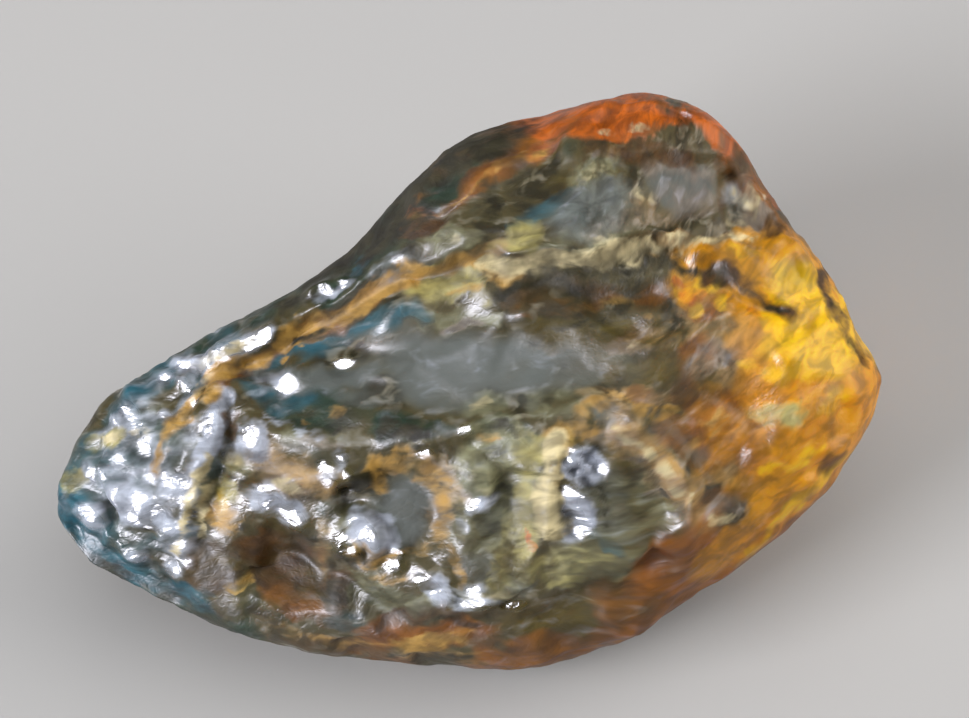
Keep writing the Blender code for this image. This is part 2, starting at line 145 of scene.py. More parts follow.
# Rounded knobs: (a, b, radius, height).
KNOBS = [
    (-14.9, -4.9, 0.8, 0.4), (-14.5, -3.2, 0.7, 0.3), (-13.6, -1.3, 0.7, 0.3),
    (-13.0, -4.2, 0.8, 0.4), (-11.4, -3.8, 0.7, 0.35), (-11.8, -5.3, 0.7, 0.35),
    (-13.0, -6.2, 0.6, 0.3), (-11.4, -6.9, 0.7, 0.3), (-11.0, -0.2, 0.7, 0.3),
    (-9.7, 1.1, 0.8, 0.4), (-8.0, 2.1, 0.6, 0.3), (-6.2, 3.5, 0.6, 0.3),
    (-4.9, 4.1, 0.6, 0.3), (-8.6, -1.7, 0.7, 0.4), (-7.5, -4.5, 0.9, 0.45),
    (-5.5, -3.1, 0.8, 0.4), (-4.5, -5.2, 0.8, 0.4), (-4.9, -6.0, 0.6, 0.3),
    (-3.1, -6.4, 0.6, 0.3), (-1.8, -7.4, 0.9, 0.45), (0.0, -8.2, 0.7, 0.35),
    (-0.4, -5.3, 0.6, 0.35), (-0.2, -4.2, 0.7, 0.4), (-0.4, -1.7, 0.6, 0.3),
    (3.5, -2.5, 0.8, 0.45), (3.6, -4.1, 0.8, 0.45), (-2.0, -2.5, 0.6, 0.3),
    (12.3, -3.9, 0.8, 0.3), (13.4, -2.5, 0.8, 0.3), (10.3, -2.9, 0.8, 0.3),
    (1.9, 2.6, 0.7, 0.25), (-7.2, 0.3, 0.7, 0.25), (6.3, 2.6, 0.9, 0.3),
]
WANDER_SIZE, WANDER = 1.7, 0.35  # how the relief's lines stray from their paths

# -------------------------------------------------------- chips and lumps all round

# Shell-shaped chips on the flanks and the underside: (centre, radius, depth).
CHIPS = [
    ((-3.5, 3.0, -6.4), 4.6, 1.1),
    ((6.5, 5.0, -6.4), 4.6, 1.1),
    ((12.0, 2.0, -5.4), 4.0, 1.0),
    ((-10.5, -2.2, -4.8), 3.6, 0.8),
    ((9.0, -5.0, -5.6), 4.0, 0.9),
    ((0.5, 8.6, -5.0), 3.8, 0.9),
    ((8.5, 9.0, -3.6), 2.8, 0.6),
    ((-7.5, -7.0, -4.6), 3.0, 0.6),
]
LUMP_SIZE, LUMP_HEIGHT = 1.3, 0.3
LUMP_LEVEL = 0.7  # the height of a pattern of lumps, from 0 to 1, that leaves the skin where it is
LOWER_CREST_LUMPS = 0.6  # how lumpy the lower crest is, as a share of the blue third
BREAK_SIZE, BREAK_HEIGHT = 2.6, 0.75  # flat breaks, which tilt each its own way
BREAK_SHARPNESS = 14.0  # how sharply one break gives way to the next
SWELL_SIZE, SWELL_HEIGHT = 5.0, 0.4
POOL_STILLNESS = 0.6  # how much flatter the breaks are in the pool than elsewhere
RIM_STILLNESS = 0.75  # how much less the swell and breaks move the rim than the rest
# How far out of the rim, as a share of the swell, that lessens, and the face's relief is whole.
RIM_BAND, RELIEF_FROM_RIM = 0.3, 0.35
CORE_ENDS = (-9.5, -2.6), (9.5, 0.6)  # the line inside the nugget that lumps stand out from

# -------------------------------------------------------- finer relief, too small for the solids

# Small flats that all face one way and catch the light together: (a, b, half-length, half-width,
# tilt in degrees).
FLATS = [
    (-10.2, 0.9, 0.48, 0.32, 25), (-9.5, 1.3, 0.48, 0.36, 30), (-8.7, 1.7, 0.48, 0.32, 28),
    (-8.1, 2.0, 0.32, 0.24, 28), (-13.3, -4.0, 0.4, 0.36, -30), (-12.6, -4.3, 0.48, 0.4, -36),
    (-12.9, -4.9, 0.36, 0.28, -40), (-12.0, -4.8, 0.36, 0.32, -50), (-11.6, -5.3, 0.36, 0.32, -50),
    (-11.2, -5.9, 0.36, 0.32, -55), (-13.2, -1.0, 0.36, 0.28, -55), (-12.8, -1.6, 0.36, 0.28, -58),
    (-12.5, -2.2, 0.32, 0.28, -58), (-7.8, -4.4, 0.4, 0.32, -30), (-7.0, -4.9, 0.51, 0.36, -31),
    (-5.0, -5.8, 0.46, 0.46, 20), (-8.6, -2.0, 0.51, 0.36, -60), (-14.1, -2.1, 0.48, 0.36, 4),
    (-14.9, -5.0, 0.56, 0.32, -38), (-5.6, -3.3, 0.55, 0.4, -80), (-10.0, -1.4, 0.51, 0.24, 70),
    (-7.3, 0.2, 0.46, 0.4, 9), (-10.9, -4.1, 0.44, 0.32, 7), (-14.7, -3.3, 0.4, 0.24, -70),
    (-8.0, -3.8, 0.36, 0.24, 3), (-11.2, 0.8, 0.51, 0.24, -17), (-0.2, -4.2, 0.46, 0.3, 42),
    (-11.7, -3.5, 0.4, 0.24, -55), (-11.6, -7.0, 0.32, 0.24, -1), (-5.1, 0.9, 0.4, 0.3, 15),
    (-10.8, -0.5, 0.32, 0.24, 80), (-12.9, -6.4, 0.28, 0.19, -19), (-11.9, -1.1, 0.24, 0.19, -17),
    (-11.1, -3.6, 0.32, 0.18, -35), (-11.2, 0.1, 0.28, 0.18, -39), (-12.6, -2.6, 0.32, 0.18, -18),
    (-9.4, -2.7, 0.32, 0.18, -31), (-13.8, -1.3, 0.24, 0.18, -5), (-13.3, -2.7, 0.19, 0.18, -85),
    (-14.0, -3.3, 0.24, 0.18, -18), (-2.0, -2.5, 0.3, 0.21, -4), (-0.5, -1.6, 0.3, 0.21, 23),
    (-11.0, -6.6, 0.24, 0.18, -3), (-0.2, -7.5, 0.36, 0.21, 2), (-5.2, 4.0, 0.3, 0.21, 8),
    (-7.9, 2.1, 0.24, 0.18, 76), (-6.2, 3.5, 0.3, 0.21, 30), (-3.1, 4.7, 0.3, 0.21, 20),
    (-10.5, -4.7, 0.24, 0.19, 0), (-12.3, -3.4, 0.24, 0.18, 0), (3.4, -2.3, 0.37, 0.22, 10),
    (4.0, -2.6, 0.37, 0.22, 5), (4.4, -2.9, 0.27, 0.18, 0), (3.6, -3.0, 0.3, 0.18, 0),
    (3.5, -3.9, 0.5, 0.27, 8), (3.6, -4.4, 0.54, 0.31, 5), (3.7, -4.9, 0.57, 0.31, 0),
    (3.8, -5.4, 0.46, 0.27, 0), (3.3, -3.6, 0.31, 0.19, 0), (-1.9, -7.5, 0.46, 0.27, -30),
    (-1.5, -7.9, 0.42, 0.27, -30), (-1.1, -8.2, 0.38, 0.23, -20), (-0.5, -8.2, 0.42, 0.23, -5),
    (0.0, -8.1, 0.38, 0.23, 0), (1.4, -8.3, 0.31, 0.19, 0), (-4.5, -5.2, 0.42, 0.31, -30),
    (-4.1, -5.6, 0.46, 0.34, -30), (-3.1, -6.2, 0.34, 0.23, -10), (-3.2, -6.7, 0.38, 0.23, 0),
    (-5.7, -2.9, 0.31, 0.23, -20), (-5.1, -2.6, 0.27, 0.19, -10), (-4.9, -3.2, 0.27, 0.23, -10),
    (-4.9, -3.9, 0.27, 0.19, -10), (-5.8, 3.7, 0.34, 0.23, 25), (-11.9, 0.3, 0.3, 0.2, 35),
    (3.3, -2.6, 0.27, 0.18, 0), (4.0, -3.3, 0.25, 0.15, 0), (1.1, -8.2, 0.31, 0.19, 0),
    (-4.7, -6.2, 0.27, 0.19, -20),
]
# Wider facets that break the relief's run: (a, b, half-length, half-width, tilt, and the way that
# each faces, along a and b for 1 outwards).
FACETS = [
    (-2.1, 2.5, 1.6, 0.8, 10, (0.05, -0.12)),
    (-2.6, -4.8, 1.1, 1.4, 0, (0.03, -0.05)),
    (9.65, 4.3, 1.0, 0.5, -60, (0.0, 0.15)),
    (-6.9, -6.95, 0.9, 0.45, -25, (-0.05, 0.1)),
    (-5.1, -7.9, 0.45, 0.7, 0, (0.1, -0.1)),
]
GLINT_WAY = (-0.768, -0.246, 0.591)  # the way to the lamp that they catch, along a, b and n
FLATS_FACE = (*GLINT_WAY[:2], GLINT_WAY[2] + 1.0)  # halfway from there to the camera, along n
GLINT_HALO_ON_FLATS = 0.65  # how strongly the flats of the left end get the pale pearl colour, as a painted highlight halo
GLINT_HALO_ON_BEADS = 0.5  # and those of the oval beads, as a share of that
FLATS_BOW = 0.05  # how far each flat bows out at its rim, as a share of its half-length and -width
UNDER_FAR = 1000.0  # what keeps points of the underside from being the nearest to a flat's middle
CREST_START, CREST_SLOPE = (-16.0, -5.0), -0.50  # the crest behind the blue tip, and its fall
CREST_BAND, CREST_END = (-0.6, 0.1), (-8.0, -5.0)  # across the crest, and along a where it ends
BARE_PLACE = (-9.9, -6.7)  # a place without scales, between the crest and the brown hollow
BARE_TO, ROUGH_FROM = 1.4, 2.4  # how far from it the skin is still bare, and wholly rough again
SMALL_LUMP_SIZE, SMALL_LUMP_HEIGHT = 0.6, 0.13
SMALL_BREAK_SIZE, SMALL_BREAK_HEIGHT = 1.0, 0.12
GRAIN_SIZE, GRAIN_HEIGHT = 0.45, 0.02
HONEY_RISE = (7.5, 11.0)  # where along a the clear honey end begins, and is whole
HONEY_CALM = 0.7  # how much of the small breaks the honey end is without; the pool has none
GRAIN_CALM = 0.6  # how much of the grain goes where the breaks do
RIPPLE_WIDTH, RIPPLE_HEIGHT, RIPPLE_SLANT = 0.55, 0.035, -15.0
RIPPLE_PUSHES = ((1.3, 0.5, 141), (0.5, 0.15, 145))  # the noises that bend them: size, reach, seed
RIPPLE_PATCHES = 1.5
STREAK_LENGTH, STREAK_WIDTH, STREAK_HEIGHT = 2.6, 0.42, 0.05
STREAK_SLANTS = (12.0, 42.0)  # in degrees: over most of the face, and over the honey end
STREAK_TURN_AT, STREAK_TURN_REACH = (6.0, 0.0), 3.0  # they change slant round here, this far out
FINER_STREAKS, FINER_HEIGHT = 2.3, 0.5  # the second streaks: times finer, and share as high
STREAK_LEAST = 0.15  # the streaks' height away from the honey end, as a share of that on it

# -------------------------------------------------------- the colours' places on the face

# Each mark's strokes: (path, half-width, strength).
STROKES = {
    # dark green crust, and partly painted shade on the upper-left flank
    "moss_and_shade": [
        ([(-14.7, -6.7), (-13.4, -7.7), (-11.9, -8.4), (-9.6, -9.2)], 0.77, 0.9),
        ([(-5.7, 3.8), (-4.2, 5.0), (-2.7, 6.0), (-1.5, 7.3), (-0.4, 8.6)], 0.77, 0.9),
        ([(-12.6, 0.4), (-11.1, 1.5), (-9.2, 2.6), (-6.9, 3.8), (-5.4, 4.9)], 0.42, 0.95),
    ],
    "umber": [
        ([(6.8, 10.6), (7.2, 10.0), (7.6, 9.3)], 0.27, 0.7),
        ([(8.9, 8.4), (9.0, 7.1), (9.0, 5.6)], 0.27, 0.5),
        ([(-1.9, 8.2), (-0.4, 9.0), (1.1, 9.4)], 0.61, 0.8),
        ([(-2.7, -8.5), (-1.5, -8.2), (-0.4, -8.7)], 0.27, 0.8),
        ([(8.4, 4.1), (9.3, 4.2), (9.8, 3.7), (10.5, 3.2), (11.5, 2.5)], 0.34, 1.1),
        ([(13.0, 4.2), (13.2, 2.9), (13.6, 2.0), (14.4, 0.9)], 0.23, 0.9),
        ([(4.2, 8.6), (6.1, 8.2), (8.0, 8.3)], 0.31, 0.8),
        ([(-3.8, -9.1), (-3.1, -8.6), (-1.9, -8.3), (-1.0, -8.7), (-0.1, -9.2)], 0.15, 0.8),
    ],
    "olive": [
        ([(2.9, 1.8), (4.2, 1.3), (5.4, 1.3)], 0.34, 0.5),
    ],
    "sage": [
        ([(-2.1, 2.6), (-0.8, 2.6), (0.6, 2.6)], 0.34, 0.6),
    ],
    "tan": [
        ([(-8.6, -2.4), (-7.3, -2.9), (-5.7, -3.4)], 0.61, 0.8),
        ([(4.7, -1.1), (6.0, -2.1), (6.9, -3.3), (7.8, -4.4), (8.3, -5.4)], 0.5, 1.0),
    ],
    "teal": [
        ([(-9.2, 0.5), (-8.3, 1.0), (-7.3, 1.3), (-5.7, 1.5)], 0.46, 0.85),
        ([(-7.5, 1.2), (-5.7, 1.9), (-4.4, 2.4), (-3.4, 2.6)], 0.5, 0.75),
        ([(-3.4, 2.6), (-2.1, 2.7)], 0.34, 0.45),
        ([(-7.3, -0.3), (-5.7, 0.0), (-3.8, 0.3)], 0.38, 0.3),
        ([(1.0, 6.1), (2.1, 6.5), (3.3, 7.2)], 0.27, 0.55),
        ([(-16.0, -4.6), (-15.5, -5.6), (-14.6, -6.5), (-13.4, -7.2)], 0.54, 0.8),
    ],
    "toffee": [
        ([(0.0, -10.7), (2.3, -10.6), (4.6, -10.1), (6.5, -9.1), (8.4, -7.5), (10.3, -6.0),
          (12.3, -4.1), (14.2, -1.8), (15.0, -0.2)], 0.84, 0.9),
        ([(10.1, 7.5), (11.5, 5.7), (12.8, 4.4), (13.9, 3.3), (14.5, 2.4)], 0.42, 0.9),
        ([(-9.8, 0.0), (-6.9, 2.0), (-5.0, 2.8), (-3.4, 3.6), (-1.5, 4.4),
          (0.5, 4.6)], 0.46, 0.5),
        ([(-2.8, 5.9), (-2.2, 6.4), (-0.8, 7.0), (0.2, 7.9), (0.9, 8.7), (2.5, 9.1)], 0.42, 0.7),
        ([(-6.1, -5.0), (-5.7, -6.5), (-5.6, -8.2)], 0.31, 0.3),
    ],
    # grey crust, and partly a painted reflection: the grey sheen over the pool
    "milk_and_sheen": [
        ([(-8.3, 0.5), (-6.9, 0.1), (-5.4, 0.3), (-3.8, 0.7)], 0.46, 1.0),
    ],
    # lilac-grey crust, and partly a painted sheen on the top facet and painted faint glints
    "mauve_and_sheen": [
        ([(6.4, 7.9), (7.7, 8.0), (8.6, 7.7)], 0.34, 0.6),
    ],
    # pale bluish crust, and partly a painted halo round the glints
    "pearl_and_glint_halo": [
        ([(-9.6, -0.5), (-9.8, -1.3), (-10.1, -2.2), (-10.5, -2.9)], 0.21, 1.2),
        ([(-10.3, -2.9), (-10.5, -3.6), (-10.8, -4.5), (-11.1, -5.4), (-11.4, -6.3)], 0.17, 0.9),
        ([(-8.2, -1.1), (-6.9, -1.4), (-5.7, -1.9)], 0.15, 0.5),
    ],
    "honey": [],
    # painted glow: the brightest yellow, standing in for light shining through the honey end
    "painted_glow": [
        ([(13.9, 3.4), (14.4, 2.3), (15.0, 1.0)], 0.31, 0.9),
        ([(11.6, -4.6), (12.7, -3.6), (14.2, -2.3)], 0.23, 0.7),
        ([(10.0, -6.1), (11.0, -5.2), (12.1, -4.3)], 0.19, 0.6),
        ([(10.7, -3.3), (11.7, -2.8), (12.8, -2.1)], 0.19, 0.6),
    ],
    "lime": [
        ([(2.0, -1.8), (1.8, -3.3), (1.6, -4.8), (1.5, -6.1)], 0.38, 0.9),
        ([(3.1, -1.6), (2.9, -2.9), (2.9, -4.2)], 0.23, 0.6),
        ([(2.0, -2.1), (1.8, -3.6), (1.6, -5.2)], 0.31, 0.5),
        ([(3.1, -6.7), (3.6, -7.3), (4.2, -7.9)], 0.54, 0.3),
    ],
    "rust": [
        ([(2.1, 10.0), (3.6, 10.4), (5.0, 10.5), (6.3, 10.4), (7.0, 9.9)], 0.73, 1.1),
        ([(8.0, 10.1), (8.9, 9.7), (9.7, 9.0)], 0.57, 1.1),
        ([(9.8, 9.1), (10.4, 8.0), (11.3, 6.7)], 0.23, 0.5),
    ],
    "ochre": [
        ([(-11.4, -1.3), (-10.7, -0.5), (-9.9, 0.1), (-9.1, 0.8), (-8.0, 1.4), (-7.0, 2.1),
          (-6.0, 2.5), (-5.0, 2.8), (-3.6, 3.6), (-2.3, 4.2), (-1.6, 4.4), (-0.5, 4.8), (0.4, 4.5),
          (1.2, 4.0)], 0.31, 0.95),
        ([(-7.0, 2.2), (-6.0, 2.6), (-5.2, 2.6)], 0.38, 0.8),
        ([(-10.5, -0.2), (-10.8, -0.9), (-11.4, -1.8), (-11.9, -2.9)], 0.31, 0.75),
        ([(-4.0, -3.6), (-3.8, -2.9), (-3.1, -2.7), (-2.1, -2.9), (-1.6, -3.6)], 0.34, 0.8),
        ([(-1.5, -3.6), (-1.3, -4.6), (-1.5, -5.9)], 0.38, 0.6),
        ([(-4.8, -6.1), (-3.4, -6.4), (-1.9, -6.2)], 0.34, 0.6),
        ([(-2.8, 5.9), (-2.2, 6.4), (-0.8, 7.0), (0.2, 7.9), (0.9, 8.6), (2.3, 9.0)], 0.15, 0.5),
        ([(3.1, -1.5), (2.9, -2.9), (2.8, -4.2), (2.8, -5.4)], 0.27, 0.6),
        ([(-1.0, -6.1), (-0.8, -6.7), (-0.7, -7.3)], 0.27, 0.7),
        ([(-7.7, -9.0), (-5.4, -9.8), (-2.3, -10.1), (0.0, -10.3)], 0.27, 0.4),
        ([(3.6, -1.0), (4.6, -0.8), (4.2, -1.5)], 0.31, 0.5),
    ],
    "bone": [
        ([(0.4, 4.5), (2.1, 4.3), (3.4, 4.7), (4.9, 5.0), (6.5, 5.1)], 0.34, 1.0),
        ([(6.1, 5.1), (8.4, 5.3), (10.3, 5.7)], 0.23, 0.6),
        ([(-10.2, -2.7), (-10.4, -3.6), (-10.7, -4.5), (-11.1, -5.5), (-11.4, -6.3)], 0.19, 0.9),
        ([(-10.1, -3.8), (-10.2, -4.8), (-10.5, -5.7)], 0.15, 0.9),
        ([(4.8, -1.3), (6.0, -2.2), (6.8, -3.3), (7.7, -4.4)], 0.19, 0.5),
    ],
    # dark crust in the pits and the crack, and partly painted shade under the ledge and on the
    # upper-left flank
    "murk_and_shade": [
        ([(-6.9, 1.8), (-5.0, 2.4), (-3.8, 3.0)], 0.19, 0.6),
        ([(0.7, 3.6), (1.5, 3.7), (2.5, 4.0)], 0.31, 0.85),
        ([(3.1, 4.0), (5.0, 4.3), (6.5, 4.5), (8.0, 4.3)], 0.23, 0.75),
        ([(8.4, 4.1), (9.3, 4.2), (9.6, 3.7), (10.4, 3.3), (11.4, 2.6)], 0.13, 0.65),
        ([(5.1, -2.1), (6.1, -2.9), (7.1, -4.3), (7.5, -5.2)], 0.19, 0.45),
        ([(13.0, 4.0), (13.3, 2.9), (13.6, 2.0), (14.3, 1.0)], 0.11, 0.4),
        ([(-3.5, 2.5), (-2.7, 2.4), (-1.7, 2.5)], 0.11, 0.6),
        ([(-5.0, -4.6), (-4.5, -5.6), (-4.1, -6.5)], 0.23, 0.35),
    ],
}
# Each mark's patches: (a, b, half-length, half-width, tilt in degrees, strength).
PATCHES = {
    # dark green crust, and partly painted shade on the upper-left flank
    "moss_and_shade": [
        (-2.9, -1.6, 1.3, 0.6, -4, 1.0), (1.0, -1.6, 1.0, 0.5, 0, 0.8),
        (-5.9, -0.8, 1.9, 0.9, 0, 0.75), (-4.1, -0.4, 0.5, 0.9, 0, 0.6),
        (-5.1, -4.6, 1.0, 0.6, -20, 0.6), (-7.3, -0.9, 0.9, 0.5, 0, 0.6),
        (-4.6, 4.7, 0.8, 0.4, 30, 0.9), (-5.0, 2.8, 1.7, 0.4, 25, 0.6),
        (-8.8, -7.9, 1.3, 0.5, -25, 0.5), (-3.6, -8.0, 1.3, 0.4, 0, 0.4),
        (-5.6, -8.0, 1.1, 0.5, -10, 0.6), (-6.9, -8.2, 1.1, 0.4, -10, 0.5),
        (-1.5, -1.5, 0.8, 0.3, 0, 0.6), (-13.4, -7.3, 1.7, 0.7, -32, 0.95),
        (-11.1, -8.4, 1.9, 0.5, -22, 0.9), (-9.6, -9.0, 1.5, 0.5, -18, 0.8),
        (3.1, 8.2, 0.9, 0.6, 20, 0.4), (-12.6, -4.4, 1.5, 1.5, 0, 0.35),
        (-5.2, -6.7, 1.1, 1.5, 0, 0.3), (-3.1, 6.1, 1.0, 0.6, 35, 0.6),
        (-3.6, 6.5, 1.9, 0.5, 42, 0.9), (6.1, -3.8, 1.0, 1.1, -40, 0.45),
    ],
    "umber": [
        (-7.7, -6.5, 1.8, 1.1, -12, 0.65), (9.3, 4.1, 0.5, 0.3, -30, 0.6),
        (8.1, 4.7, 0.3, 0.2, 0, 0.7), (-6.5, -7.7, 1.5, 0.7, -15, 0.6),
        (-8.2, -7.3, 0.9, 0.6, 0, 0.5), (-2.0, 5.9, 0.9, 0.5, 10, 1.0),
        (3.4, 3.3, 2.2, 0.8, 3, 0.6), (1.5, 3.4, 0.8, 0.7, 0, 0.7),
        (6.3, -8.7, 2.7, 1.3, -25, 0.4), (7.5, -0.3, 0.7, 0.8, 0, 0.6),
        (6.1, 2.1, 1.3, 0.5, 0, 0.3), (8.0, 1.3, 0.6, 0.5, 0, 0.3), (9.8, 8.3, 0.5, 1.3, -40, 0.7),
        (10.5, 7.1, 0.6, 0.8, -40, 0.5), (9.5, -4.6, 0.7, 0.8, 0, 0.3),
        (6.5, 3.3, 1.5, 0.8, 0, 0.4), (-9.2, -6.1, 0.8, 0.9, 0, 0.5),
        (-7.3, -5.9, 1.5, 0.4, -10, 0.7), (2.3, -10.0, 3.1, 0.6, 0, 0.4),
        (-5.7, -9.8, 2.3, 0.5, -10, 0.5), (6.1, 8.6, 0.9, 0.3, 0, 0.6),
        (8.4, -0.4, 0.8, 0.5, 0, 0.4), (-9.4, -1.4, 0.3, 0.5, 10, 0.7),
        (8.4, -3.3, 0.6, 0.8, 0, 0.3), (11.2, 6.1, 0.5, 1.1, -55, 0.6),
        (10.0, 7.8, 0.5, 0.8, -40, 0.5), (13.2, -3.0, 0.9, 0.4, 45, 0.5),
        (-5.7, -8.8, 1.4, 0.4, -12, 0.4), (-6.9, -6.7, 1.7, 0.8, -12, 0.4),
        (-5.5, -7.8, 0.8, 1.0, -20, 0.8), (-10.1, -6.8, 1.1, 1.1, 0, 0.75),
    ],
    "olive": [
        (2.3, -9.0, 2.3, 0.8, 0, 0.9), (0.8, -6.1, 0.6, 1.0, 0, 0.4), (5.0, 2.1, 1.9, 0.5, 0, 0.7),
        (5.0, 0.6, 1.3, 0.6, -15, 0.4), (1.7, 9.0, 1.7, 0.8, 20, 0.7),
        (-8.8, -8.2, 1.9, 0.7, -15, 0.5), (-7.5, -6.9, 1.9, 1.1, -12, 0.6),
        (-9.8, -7.1, 0.8, 0.9, 0, 0.7), (-1.0, -6.7, 0.8, 0.6, 0, 0.3),
        (5.7, -4.8, 2.1, 1.3, 0, 1.0), (5.2, -2.3, 0.8, 1.3, 30, 0.7),
        (6.5, 1.0, 1.5, 1.1, 0, 0.7), (7.7, -1.3, 1.1, 0.9, 0, 0.6), (4.6, -7.9, 1.5, 0.8, 0, 0.7),
        (3.1, 2.1, 1.5, 0.5, 0, 0.6), (8.0, -0.2, 1.1, 1.3, 0, 0.5), (4.6, -1.7, 1.1, 0.5, 0, 0.4),
        (8.0, -2.7, 0.6, 1.0, 40, 0.4), (6.5, -2.5, 1.3, 0.5, -42, 0.7),
        (7.1, -1.3, 1.1, 0.6, 0, 0.6), (4.2, 7.9, 1.5, 0.9, 20, 0.5),
        (-2.3, -3.6, 0.6, 0.5, 0, 0.3), (0.0, -2.1, 1.9, 0.5, 0, 0.4),
        (-10.1, -6.7, 1.0, 0.8, 0, 0.5), (6.1, 5.2, 1.1, 0.3, 0, 0.3),
        (3.1, 7.5, 0.8, 0.7, 20, 0.5), (-2.4, 4.7, 0.8, 0.4, 15, 0.7),
        (0.8, -3.3, 0.8, 1.1, 0, 0.5),
    ],
    "sage": [
        (-0.7, -0.8, 0.8, 0.4, 0, 0.3), (0.1, -0.7, 0.8, 0.5, 0, 0.9),
        (-1.0, 5.4, 1.1, 0.5, 15, 0.8), (-1.5, 5.6, 0.8, 0.3, 20, 0.6),
        (-9.2, -2.7, 0.8, 0.7, 0, 0.7), (-10.3, -2.7, 0.5, 0.6, 0, 0.5),
        (4.6, -6.7, 2.3, 0.8, 0, 0.7), (2.3, -7.3, 1.9, 0.6, 0, 0.5),
        (-0.4, -7.9, 1.9, 0.7, 0, 0.5), (0.8, -3.6, 1.7, 2.3, 0, 0.85),
        (-5.0, -5.6, 1.1, 0.8, 0, 0.5), (-1.9, -3.3, 1.1, 0.8, 0, 0.4),
        (-0.4, -4.8, 1.1, 1.5, 0, 0.5), (5.4, -4.4, 1.9, 1.7, 0, 0.55),
        (4.6, -5.9, 1.5, 0.8, 0, 0.6), (-1.5, -8.2, 2.3, 0.6, 0, 0.6),
        (-5.0, -7.5, 1.5, 1.0, 0, 0.3), (-8.8, -2.7, 1.1, 0.8, 0, 0.6),
        (-6.9, -1.7, 1.5, 0.4, -15, 0.4), (3.1, -0.6, 1.5, 0.5, 0, 0.5),
        (4.2, 7.8, 1.1, 0.6, 20, 0.5), (-5.9, -2.1, 1.1, 0.5, 0, 0.3),
        (-12.6, -2.1, 1.9, 1.5, 0, 0.5), (-4.4, -7.5, 1.1, 0.7, 0, 0.5),
        (-1.5, -9.4, 2.3, 0.4, 0, 0.2), (6.1, -3.3, 0.9, 0.6, -40, 0.3),
        (4.2, 5.6, 1.7, 0.5, 10, 0.5), (3.1, 4.9, 1.9, 0.4, 5, 0.5),
        (-3.4, -7.9, 0.8, 0.4, 0, 0.5), (-15.1, -3.3, 0.6, 0.8, 30, 0.5),
    ],
    "tan": [
        (9.4, -3.3, 1.1, 0.8, -20, 0.8), (10.1, 1.9, 1.1, 0.8, -20, 0.8),
        (14.2, 0.3, 1.0, 0.8, 0, 0.6), (8.6, 2.1, 1.0, 0.8, 0, 0.8), (8.4, 3.3, 0.4, 0.5, 0, 0.6),
        (8.0, 2.9, 0.9, 0.5, 0, 0.6), (9.8, 0.4, 1.1, 0.8, 20, 0.6), (8.0, 0.8, 0.8, 0.5, 0, 0.4),
        (-9.8, 1.1, 1.9, 0.3, 32, 0.4), (0.4, 5.0, 1.0, 0.4, 15, 1.0),
        (2.3, 4.6, 1.1, 0.3, 5, 0.6), (6.1, 1.7, 1.5, 0.5, 0, 0.5), (6.1, -0.4, 1.1, 0.5, 0, 0.5),
        (6.9, -3.3, 0.8, 1.1, 40, 0.4), (-1.3, -4.0, 0.7, 1.5, 0, 0.55),
        (6.1, 8.6, 1.0, 0.3, 0, 0.4), (7.2, 5.5, 0.6, 0.4, 0, 0.8), (8.4, -1.7, 1.5, 1.1, 0, 0.4),
        (11.5, 0.2, 1.1, 0.8, 0, 0.4), (-7.5, -3.4, 1.1, 0.8, -10, 0.6),
        (-2.3, -2.9, 1.8, 0.5, 0, 0.4), (10.3, 6.2, 0.6, 0.5, 0, 0.5),
        (5.2, 9.2, 1.1, 0.3, 0, 0.8), (6.1, 6.3, 1.5, 0.6, 0, 0.4), (9.6, 5.6, 1.5, 0.3, 15, 0.6),
        (6.1, 8.4, 1.9, 0.3, 0, 0.4), (4.2, -0.4, 1.0, 0.4, 0, 0.4),
        (-5.7, -5.9, 0.4, 1.4, -10, 0.5), (-5.9, -6.4, 0.5, 0.7, 0, 0.5),
        (-7.3, -7.1, 0.9, 0.4, 0, 0.3), (-8.4, -6.7, 0.6, 0.3, 0, 0.3),
        (5.4, 7.5, 0.5, 0.8, 0, 0.3), (8.4, -5.0, 0.8, 0.5, 0, 0.5),
        (4.2, -1.7, 0.9, 0.4, -20, 0.4),
    ],
    "teal": [
        (-15.4, -4.6, 0.8, 1.1, 25, 1.0), (-14.6, -4.2, 0.8, 0.9, 0, 0.6),
        (-11.1, -7.9, 1.1, 0.5, -25, 0.9), (-12.6, -7.5, 0.8, 0.4, -30, 0.5),
        (4.8, -6.0, 0.6, 0.3, 0, 0.4), (-4.5, 4.7, 0.6, 0.2, 35, 0.5),
        (-5.0, -8.8, 0.9, 0.4, 0, 0.5), (-13.6, -5.6, 1.1, 0.6, -30, 0.6),
        (-14.0, -3.4, 2.1, 1.7, 0, 0.75), (-11.3, -5.9, 1.1, 1.1, 0, 0.5),
        (-12.6, -2.1, 1.9, 1.5, 0, 0.5), (-10.7, 0.0, 1.1, 0.5, 35, 0.4),
        (-13.4, -0.6, 1.3, 0.5, 40, 0.7), (-11.9, 0.5, 1.1, 0.5, 30, 0.6),
        (-9.8, 1.7, 1.1, 0.5, 28, 0.5), (-13.0, -6.7, 1.4, 0.5, -30, 0.6),
        (-10.1, -3.3, 0.6, 1.1, 0, 0.4), (-12.3, -5.9, 0.9, 0.5, -30, 0.6),
        (-14.7, -5.6, 1.1, 0.5, -40, 0.7), (0.2, 6.5, 0.8, 0.4, 20, 0.3),
        (3.6, 6.5, 1.7, 0.5, 15, 0.4), (-7.3, -0.6, 1.3, 0.5, 0, 0.45),
        (-12.4, -2.1, 1.1, 0.9, 0, 0.4), (4.5, -5.6, 0.6, 0.5, 0, 0.3),
        (-13.8, -1.6, 1.0, 0.5, 30, 0.3), (-8.3, -0.3, 0.8, 0.4, 0, 0.7),
        (-8.8, 0.2, 0.7, 0.5, 20, 0.6), (-13.8, -3.3, 0.8, 0.5, 60, 0.4),
        (-8.3, 0.5, 1.1, 0.4, 15, 0.5),
    ],
    "toffee": [
